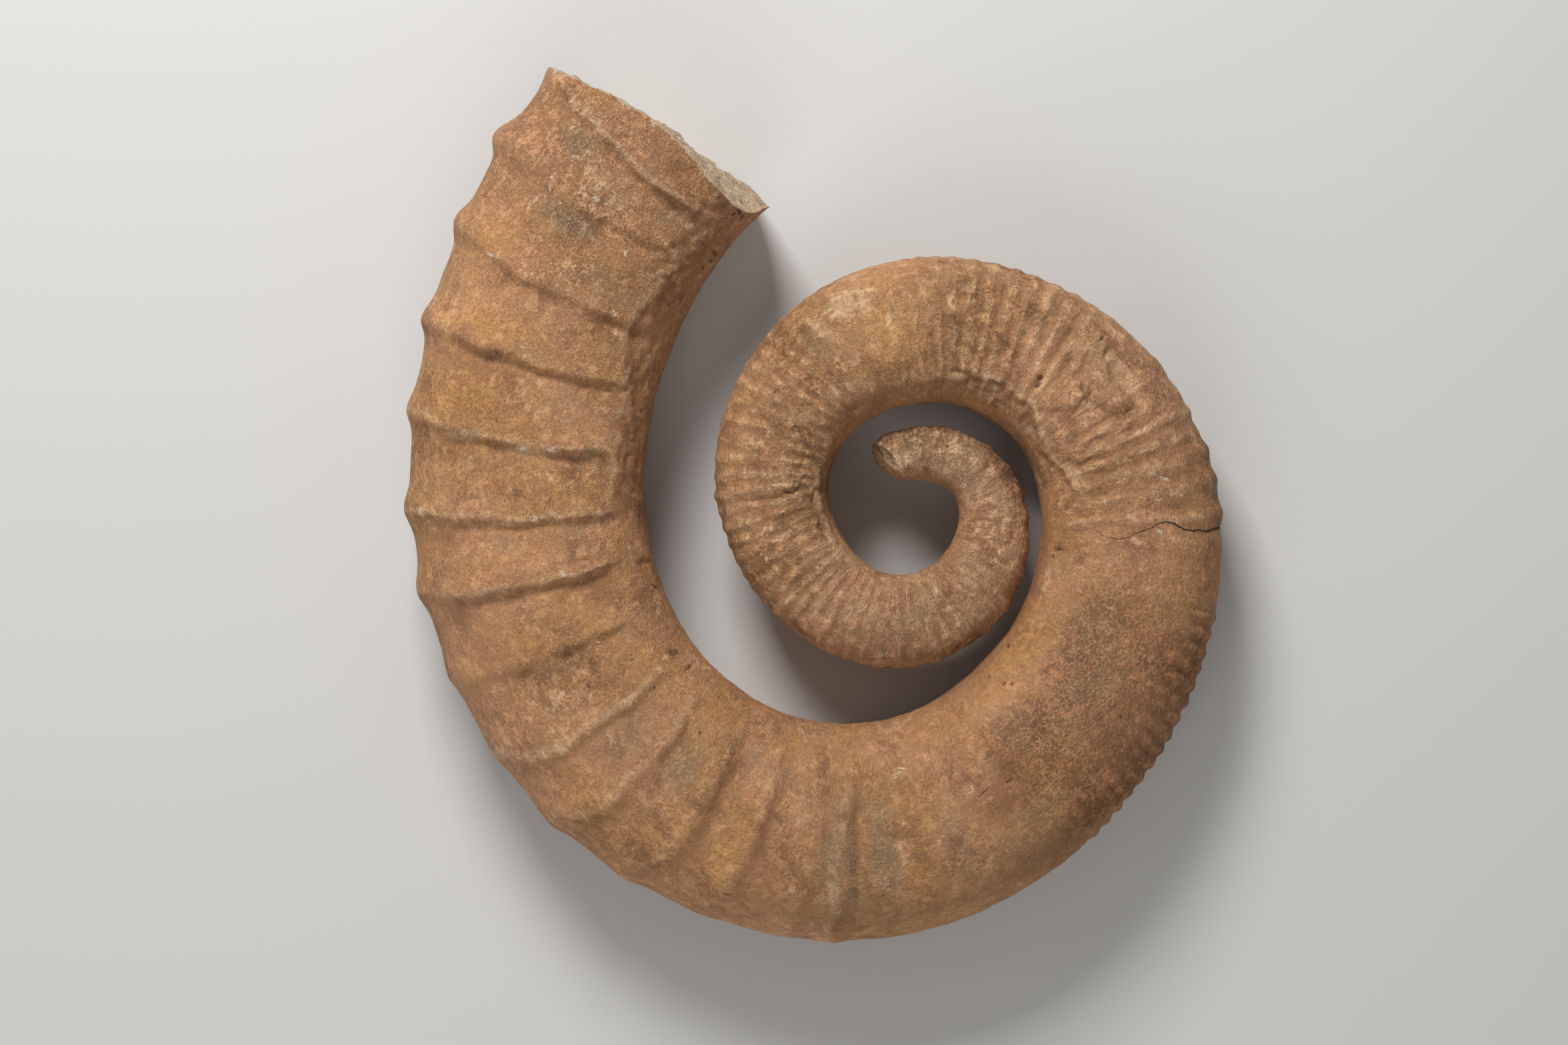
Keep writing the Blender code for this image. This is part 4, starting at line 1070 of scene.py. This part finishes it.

    # crests are pale, partly worn and partly painted highlight; hollows are dark, partly dirt and partly
    # painted shade
    rubbed_and_highlit = (crest + (small - 0.5) * 1.8 + (across - 0.5) * 1.2).band(0.20, 1.1)
    color = finish.mix(rubbed_and_highlit * 0.45, color, tuple(colors.pale))
    hollow_dirt_and_shade = (hollow * 0.9 + speckle * 1.1).band(0.2, 1.3)
    color = finish.mix(hollow_dirt_and_shade * 0.50, color, tuple(colors.rust_and_shade))
    color = finish.mix(pits * (weathered * 0.2 + 0.14), color, tuple(colors.rust_and_shade))
    pale_lines = wisps.band(0.012, 0.0) * small.band(0.48, 0.60)
    color = finish.mix(pale_lines * (ribbed * 0.3 + 0.3), color, tuple(colors.pale))

    # granular orange in the rough zone
    grains = (small * 0.7 + grain * 0.6).band(0.68, 0.80) * rough_zone
    color = finish.mix(grains * 0.50, color, tuple(colors.orange))

    # light and dark of the grain: partly tone and partly painted shade and highlight following the relief's
    # height, random tone from the clouds, and painted light on the tube's inner side
    lowest = -0.20 - 0.14 * rough_zone - 0.05 * ribbed
    shade = (height * 1.6).greater(lowest) + (middle - 0.5) * (ribbed * 0.6 + 0.5)
    shade = shade + (wide - 0.5) * (ribbed * 0.6 + 0.3)
    # inner * 0.15: painted light that makes the tube's inner side lighter
    color = finish.scaled(color, (shade + 1.0 + inner * 0.15).smaller(1.9))

    # specks and small marks
    dark_speck = grain.band(0.33, 0.25) * middle.band(0.52, 0.42)
    color = finish.mix(dark_speck * 0.22, color, tuple(colors.rust_and_shade))
    ragged = (small - 0.5) * 2.4 + (grain - 0.5) * 1.6
    hole = marks(finish, "hole", ragged)
    fleck = marks(finish, "fleck", ragged * 1.4)
    chip = marks(finish, "chip", ragged * 1.5 + 0.1) * (grain + small * 0.4).band(0.58, 0.74)
    color = finish.mix(fleck * 0.60, color, tuple(colors.orange))
    color = finish.mix(chip * 0.80, color, tuple(colors.chip))

    # broken stone at the two ends
    fresh_noise = (small * 0.6 + grain * 0.6).band(0.48, 0.70)
    fresh = finish.mix(fresh_noise, tuple(colors.fracture_dark), tuple(colors.fracture))
    # painted light on the tip's broken face: where the pale tone lies on a break it lightens the fracture
    # towards the chip colour and holds back the dirt
    break_painted_light = tone["pale"].smaller(1.0)
    dirt = (small + grain * 0.3).band(0.56, 0.48) * (0.7 - 0.6 * break_painted_light)
    fresh = finish.mix(dirt, fresh, tuple(colors.earth_and_shade))
    fresh = finish.mix(break_painted_light * 0.45, fresh, tuple(colors.chip))
    broken = (from_break + (small - 0.5) * 8.0 + (grain - 0.5) * 5.0).band(-0.6, 0.8)
    color = finish.mix(broken, color, fresh)

    # the small holes darkened: painted shade in the holes
    color = finish.mix(hole * 0.75, color, tuple(colors.earth_and_shade))
    # the open crack near black: painted shade in the crack
    open_crack = ((from_crack + (grain - 0.5) * 1.2).size() / crack_width).band(1.0, 0.4)
    color = finish.mix(open_crack * 0.92, color, tuple(colors.dark))

    finish.set(finish.surface, "Base Color", color)
    rough = 0.84 - 0.18 * middle.band(0.42, 0.66) - 0.12 * rubbed_and_highlit + 0.1 * rough_zone
    finish.set(finish.surface, "Roughness", rough)
    finish.set(finish.surface, "Specular IOR Level", SHINE)
    carved = height - hole * 0.5 - open_crack * 0.9
    finish.set(finish.surface, "Normal", finish.bump(carved, CARVED_DEPTH))
    return finish.material


# ---- Properties ------------------------------------------------------------------------------
def share(name, description, default):
    return bpy.props.FloatProperty(name=name, description=description, default=default, min=0.0, max=3.0)


def tint(name, description, default):
    return bpy.props.FloatVectorProperty(
        name=name, description=description, default=(*default, 1.0), size=4, subtype="COLOR",
        min=0.0, max=1.0)


class FossilSizes(bpy.types.PropertyGroup):
    """How strong the relief of the skin is."""
    rib_height: share("Strong ribs", "Height of the shaft's ribs, 1 as found", 1.0)
    knob_height: share("Knobs", "Height of the shaft's knobs, 1 as found", 1.0)
    fine_ribs: share("Fine ribs", "Height of the coil's fine ribs, 1 as found", 1.0)


class FossilColors(bpy.types.PropertyGroup):
    """Colours of the stone."""
    tan: tint("Tan", "Ground colour", (0.470, 0.229, 0.092))
    pink: tint("Pink", "Pinkish ground", (0.490, 0.240, 0.117))
    ochre: tint("Ochre", "Yellow-brown patches", (0.485, 0.239, 0.074))
    # also the painted shade in the hollows and along the inner edge beside the coil
    rust_and_shade: tint("Rust", "Red-brown patches", (0.245, 0.100, 0.040))
    orange: tint("Orange", "Orange grains", (0.50, 0.150, 0.048))
    grey: tint("Grey", "Grey-green patches", (0.195, 0.130, 0.071))
    dust: tint("Dust", "Grey-brown veil on the coil", (0.33, 0.230, 0.133))
    # pale also carries painted highlights on crests and step edges, painted sheen, and painted light on the
    # inner side and the tip's broken face
    pale: tint("Pale", "Rubbed crests and thin veils", (0.65, 0.43, 0.245))
    # chip also lightens the tip's broken face as painted light
    chip: tint("Chip", "White chips", (0.82, 0.66, 0.48))
    # dark brown of the dirt on the broken faces and of the painted shade in the small holes
    earth_and_shade: tint("Earth", "Dirt in holes", (0.105, 0.052, 0.026))
    # the near-black of the open crack is painted shade
    dark: tint("Dark", "The open crack", (0.018, 0.010, 0.007))
    fracture: tint("Fracture", "Fresh broken stone", (0.80, 0.60, 0.40))
    fracture_dark: tint("Dark fracture", "Darker grains of broken stone", (0.46, 0.31, 0.18))


# ---- The fossil ------------------------------------------------------------------------------
def cage_places():
    """The s of every ring of the cage."""
    places = [0.0]
    while places[-1] < CAGE_END:
        spacing = [row[1] for row in CAGE_ZONES if places[-1] >= row[0]][-1]
        places.append(places[-1] + spacing)
    stretch = CAGE_END / places[-1]
    return [place * stretch for place in places]


def end_spans():
    """How far the vertices' place runs on from the rim to the middle of each broken face."""
    places = cage_places()
    return END_RINGS * (places[1] - places[0]), END_RINGS * (places[-1] - places[-2])


def stamp(mesh, course, place):
    """Write place and direction round the tube on the selected vertices.

    The place is s on the skin, and runs on past the ends over the broken faces."""
    cage = bmesh.from_edit_mesh(mesh)
    layers = {name: cage.verts.layers.float.get(name) for name in ("place", "cosine", "sine")}
    if layers["place"] is None:
        layers = {name: cage.verts.layers.float.new(name) for name in layers}
    s = np.array([min(max(place, 0.0), CAGE_END)])
    middle = course.middle(s)[0] * MM
    outward = course.outward(s)[0]
    for vert in cage.verts:
        if vert.select:
            away = np.array(vert.co) - middle
            reach = float(away @ outward)
            far = math.hypot(reach, away[2])
            vert[layers["place"]] = place
            vert[layers["cosine"]] = reach / far if far > 1e-5 else 0.0
            vert[layers["sine"]] = away[2] / far if far > 1e-5 else 0.0
    bmesh.update_edit_mesh(mesh)


def heading(course, s):
    out = course.outward(np.array([s]))[0]
    return math.atan2(-out[0], out[1])


def close_end(mesh, course, s, spacing):
    """Fill the open end ring and inset it, ring by ring, to its middle."""
    middle = course.middle(np.array([s]))[0] * MM
    bpy.ops.mesh.edge_face_add()
    for ring in range(1, END_RINGS):
        bpy.ops.mesh.inset(thickness=0.00001, use_even_offset=False)
        shrink = (END_RINGS - ring) / (END_RINGS - ring + 1.0)
        bpy.ops.transform.resize(value=(shrink, shrink, shrink), center_override=middle)
        stamp(mesh, course, s + ring * spacing)
    bpy.ops.mesh.poke()
    cage = bmesh.from_edit_mesh(mesh)
    chosen = [vert for vert in cage.verts if vert.select]
    centre = min(chosen, key=lambda vert: (Vector(middle) - vert.co).length)
    bpy.ops.mesh.select_all(action="DESELECT")
    centre.select = True
    stamp(mesh, course, s + END_RINGS * spacing)


def model_cage(course):
    """A ring drawn out along the tube's middle line, ring after ring, and closed at both ends."""
    places = cage_places()
    bpy.ops.object.select_all(action="DESELECT")
    bpy.ops.mesh.primitive_circle_add(
        vertices=CAGE_SIDES, radius=1.0, fill_type="NOTHING", enter_editmode=True)
    fossil = bpy.context.object
    mesh = fossil.data
    bpy.ops.mesh.select_all(action="SELECT")
    first = Vector(course.middle(np.array([places[0]]))[0] * MM)
    height, breadth = (float(size[0]) for size in course.sizes(np.array([places[0]])))
    start = (0.0, 0.0, 0.0)
    half = (breadth / 2.0 * MM, height / 2.0 * MM, 1.0)
    bpy.ops.transform.resize(value=half, center_override=start)
    bpy.ops.transform.rotate(value=math.pi / 2.0, orient_axis="Y", center_override=start)
    bpy.ops.transform.rotate(value=-heading(course, places[0]), orient_axis="Z", center_override=start)
    bpy.ops.transform.translate(value=first)
    stamp(mesh, course, places[0])
    for before, s in zip(places, places[1:]):
        start = Vector(course.middle(np.array([before]))[0] * MM)
        end = Vector(course.middle(np.array([s]))[0] * MM)
        bpy.ops.mesh.extrude_region_move(TRANSFORM_OT_translate={"value": end - start})
        turn = heading(course, s) - heading(course, before)
        turn = (turn + math.pi) % (2.0 * math.pi) - math.pi
        bpy.ops.transform.rotate(value=-turn, orient_axis="Z", center_override=end)
        old_height, old_breadth = (float(size[0]) for size in course.sizes(np.array([before])))
        new_height, new_breadth = (float(size[0]) for size in course.sizes(np.array([s])))
        flat = new_height / old_height
        bpy.ops.transform.resize(value=(flat, flat, new_breadth / old_breadth), center_override=end)
        stamp(mesh, course, s)
    tip_span, mouth_span = end_spans()
    close_end(mesh, course, places[-1], mouth_span / END_RINGS)
    bpy.ops.mesh.select_all(action="DESELECT")
    cage = bmesh.from_edit_mesh(mesh)
    cage.edges.ensure_lookup_table()
    for edge in cage.edges:
        if edge.is_boundary:
            edge.select = True
    cage.select_flush(True)
    bpy.ops.mesh.select_mode(type="EDGE")
    bmesh.update_edit_mesh(mesh)
    close_end(mesh, course, places[0], -tip_span / END_RINGS)
    bpy.ops.mesh.select_all(action="SELECT")
    bpy.ops.mesh.normals_make_consistent(inside=False)
    bpy.ops.object.mode_set(mode="OBJECT")
    return fossil


def read_layer(mesh, name):
    values = np.zeros(len(mesh.vertices), dtype=np.float32)
    mesh.attributes[name].data.foreach_get("value", values)
    return values.astype(float)


def write_layer(mesh, name, values):
    kind = "FLOAT" if values.ndim == 1 else "FLOAT_VECTOR"
    layer = mesh.attributes.new(name, kind, "POINT")
    layer.data.foreach_set("value" if kind == "FLOAT" else "vector", values.astype(np.float32).ravel())


def face_corners(mesh):
    """The face and the vertex of every corner."""
    corners = np.zeros(len(mesh.loops), dtype=np.int32)
    mesh.loops.foreach_get("vertex_index", corners)
    totals = np.zeros(len(mesh.polygons), dtype=np.int32)
    mesh.polygons.foreach_get("loop_total", totals)
    return np.repeat(np.arange(len(mesh.polygons)), totals), corners


def write_marks(mesh, skin, name, rows):
    """Store, on every face's corners, the place relative to the nearest mark of the list.

    The place is counted in the mark's own half lengths, so a length below 1 lies on the mark."""
    faces, corners = face_corners(mesh)
    middles = np.stack((skin.s, skin.reach * skin.height / 2.0), axis=-1)
    centre = np.zeros((len(mesh.polygons), 2))
    count = np.bincount(faces, minlength=len(mesh.polygons))
    for axis in range(2):
        centre[:, axis] = np.bincount(faces, middles[corners, axis], len(mesh.polygons)) / count
    skinned = skin.upper * (skin.inner > 0.999)
    raised = np.bincount(faces, skinned[corners], len(mesh.polygons)) / count > 0.5
    nearest = np.full(len(mesh.polygons), FAR_FROM_MARK)
    places = np.full((len(mesh.loops), 3), FAR_FROM_MARK)
    for s, reach, half_length, half_width, turn in rows:
        height = float(skin.course.sizes(np.array([float(s)]))[0][0])
        cosine, sine = math.cos(math.radians(turn)), math.sin(math.radians(turn))

        def within(points):
            lengthwise = points[:, 0] - s
            crosswise = points[:, 1] - reach * height / 2.0
            turned = (lengthwise * cosine + crosswise * sine, crosswise * cosine - lengthwise * sine)
            return np.stack(turned, axis=-1) / np.array((half_length, half_width))

        away = np.linalg.norm(within(centre), axis=-1)
        closer = (away < nearest) & raised
        nearest = np.where(closer, away, nearest)
        chosen = closer[faces]
        places[chosen, :2] = within(middles[corners[chosen]])
        places[chosen, 2] = 0.0
    layer = mesh.attributes.new(name, "FLOAT_VECTOR", "CORNER")
    layer.data.foreach_set("vector", places.astype(np.float32).ravel())


def write_colours(mesh, skin):
    """Store what the finish needs to know about each place of the skin."""
    write_layer(mesh, "straight", skin.straight)
    ragged = 1.0 + 0.3 * cloud(skin.straight, 9.0, 101)
    for name in TONES:
        total = np.zeros(len(skin.s))
        for at, at_reach, half_length, half_width, strength in PATCHES[name]:
            lengthwise = (skin.s - at) / half_length
            crosswise = (skin.reach - at_reach) * skin.height / 2.0 / half_width
            total = np.maximum(total, strength * np.exp(-(lengthwise ** 2 + crosswise ** 2) * ragged * 0.8))
        write_layer(mesh, name, total * skin.upper)
    # crest: paler where the fine relief stands high, partly worn and partly painted highlight, with painted
    # highlights on the steps' top edges and the lips
    ribs = skin.rib_shape * np.clip(along(skin.s, RIB_HEIGHT), 0.0, 1.0)
    fine = 1.5 * ribs + 0.9 * skin.lines + 0.45 * skin.fibres + 0.5 * skin.bumps
    edges = 0.9 * np.clip(skin.terrace_shading + skin.lip, 0.0, 1.0)
    write_layer(mesh, "crest", np.clip(skin.crest, 0.0, 1.0) + 0.8 * np.clip(fine, 0.0, 1.0) + edges)
    # hollow: darker where the relief lies low, partly dirt and partly painted shade, in the grooves, the
    # notches, along the flakes' steps and below the steps
    hollow = 0.9 * skin.groove + 1.1 * np.clip(-fine, 0.0, 1.0) + 0.8 * np.clip(-2.0 * skin.notch, 0.0, 1.0)
    write_layer(mesh, "hollow", hollow + 0.8 * skin.edge + 1.1 * np.clip(-skin.terrace_shading - skin.lip, 0.0, 1.0))
    inner_side = 1.0 - smooth_step(skin.reach + 0.05 * cloud(skin.straight, 12.0, 111), -0.9, -0.6)
    write_layer(mesh, "inner_side", inner_side * (0.3 + 0.7 * smooth_step(skin.s, 960.0, 1060.0)))
    write_layer(mesh, "rough_zone", skin.rough_zone)
    write_layer(mesh, "ribbed", along(skin.s, STRIPED) * smooth_step(skin.reach, -0.95, -0.6))
    weathered = along(skin.s, WEATHERED) * np.interp(skin.reach, (-0.9, -0.6), (0.5, 1.0))
    write_layer(mesh, "weathered", weathered)
    write_layer(mesh, "from_crack", np.clip(skin.from_crack, -30.0, 30.0))
    write_layer(mesh, "crack_width", skin.crack_width)
    for name, rows in MARKS.items():
        write_marks(mesh, skin, name, rows)
    write_layer(mesh, "from_break", np.clip(skin.from_break, -30.0, 30.0))


def make_skin(sizes):
    """Model the fossil's skin: draw the cage, subdivide it and carve the relief into it."""
    course = Course()
    fossil = model_cage(course)
    fossil.name = "fossil"
    fossil.data.name = "fossil"
    smooth = fossil.modifiers.new("smooth", "SUBSURF")
    smooth.levels = SUBDIVISIONS
    smooth.render_levels = SUBDIVISIONS
    bpy.ops.object.modifier_apply(modifier=smooth.name)
    mesh = fossil.data
    angle = np.arctan2(read_layer(mesh, "sine"), read_layer(mesh, "cosine"))
    angle += CROWDING * np.cos(angle)
    skin = Skin(course, read_layer(mesh, "place"), angle, sizes)
    points = skin.places() * MM
    lay = Matrix.Rotation(math.radians(TILT_ABOUT_X_DEG), 3, "X")
    lay = lay @ Matrix.Rotation(math.radians(TILT_ABOUT_Y_DEG), 3, "Y")
    points = points @ np.array(lay).T + np.array(COIL_CENTRE)
    # the relief stands out past the solid's box in places, and is cut flat there
    points = np.clip(points, np.array(SOLID_LOW), np.array(SOLID_HIGH))
    mesh.vertices.foreach_set("co", points.astype(np.float32).ravel())
    mesh.update()
    write_colours(mesh, skin)
    for name in ("place", "cosine", "sine"):
        mesh.attributes.remove(mesh.attributes[name])
    bpy.ops.object.shade_smooth_by_angle(angle=math.radians(SMOOTH_BELOW_DEG))
    return fossil


class FOSSIL_OT_fossil(bpy.types.Operator):
    """Model the ammonite's skin and give it its finish"""
    bl_idname = "fossil.fossil"
    bl_label = "Fossil"

    def execute(self, context):
        settings = context.scene
        fossil = make_skin(settings.fossil_sizes)
        fossil.data.materials.clear()
        fossil.data.materials.append(stone_finish(settings.fossil_colors))
        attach(fossil, "root")
        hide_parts(NODE)
        return {"FINISHED"}


# ---- The stage -------------------------------------------------------------------------------
def make_floor():
    bpy.ops.object.select_all(action="DESELECT")
    bpy.ops.mesh.primitive_plane_add(size=FLOOR_SIZE, location=STAGE_MIDDLE)
    floor = bpy.context.object
    floor.name = "floor"
    finish = Finish("pale_floor")
    finish.set(finish.surface, "Base Color", FLOOR_COLOR)
    finish.set(finish.surface, "Roughness", FLOOR_ROUGHNESS)
    floor.data.materials.append(finish.material)


def add_soft_light(name, place, width, watts):
    light = bpy.data.lights.new(name, "AREA")
    light.shape = "SQUARE"
    light.size = width
    light.energy = watts
    lamp = bpy.data.objects.new(name, light)
    lamp.location = place
    lamp.rotation_euler = (Vector(STAGE_MIDDLE) - Vector(place)).to_track_quat("-Z", "Y").to_euler()
    bpy.context.scene.collection.objects.link(lamp)


def make_camera():
    lens = bpy.data.cameras.new("camera")
    lens.sensor_fit = "HORIZONTAL"
    lens.lens = lens.sensor_width * CAMERA_ABOVE / WIDTH_IN_VIEW
    camera = bpy.data.objects.new("camera", lens)
    camera.location = (*VIEW_CENTRE, COIL_CENTRE.z + CAMERA_ABOVE)
    bpy.context.scene.collection.objects.link(camera)
    bpy.context.scene.camera = camera


class FOSSIL_OT_stage(bpy.types.Operator):
    """Add the floor, the soft lights and the camera"""
    bl_idname = "fossil.stage"
    bl_label = "Stage"

    def execute(self, context):
        make_floor()
        for name, place, width, watts in SOFT_LIGHTS:
            add_soft_light(name, place, width, watts)
        world = bpy.data.worlds.new("studio")
        world.use_nodes = True
        background = world.node_tree.nodes["Background"]
        background.inputs["Color"].default_value = SURROUNDINGS_COLOR
        background.inputs["Strength"].default_value = SURROUNDINGS_STRENGTH
        context.scene.world = world
        context.scene.view_settings.view_transform = "Standard"
        make_camera()
        return {"FINISHED"}


class FOSSIL_PT_panel(bpy.types.Panel):
    """Buttons for the fossil and its stage"""
    bl_label = "Fossil ammonite"
    bl_idname = "FOSSIL_PT_panel"
    bl_space_type = "VIEW_3D"
    bl_region_type = "UI"
    bl_category = "Fossil"

    def draw(self, context):
        for group in (context.scene.fossil_sizes, context.scene.fossil_colors):
            for name in group.bl_rna.properties.keys():
                if name not in ("rna_type", "name"):
                    self.layout.prop(group, name)
        self.layout.operator(FOSSIL_OT_fossil.bl_idname)
        self.layout.operator(FOSSIL_OT_stage.bl_idname)


CLASSES = (FossilSizes, FossilColors, FOSSIL_OT_fossil, FOSSIL_OT_stage, FOSSIL_PT_panel)


def register():
    for item in CLASSES:
        bpy.utils.register_class(item)
    bpy.types.Scene.fossil_sizes = bpy.props.PointerProperty(type=FossilSizes)
    bpy.types.Scene.fossil_colors = bpy.props.PointerProperty(type=FossilColors)


def unregister():
    del bpy.types.Scene.fossil_colors
    del bpy.types.Scene.fossil_sizes
    for item in reversed(CLASSES):
        bpy.utils.unregister_class(item)


def main():
    register()
    bpy.ops.fossil.fossil()
    bpy.ops.fossil.stage()


if __name__ == "__main__":
    main()
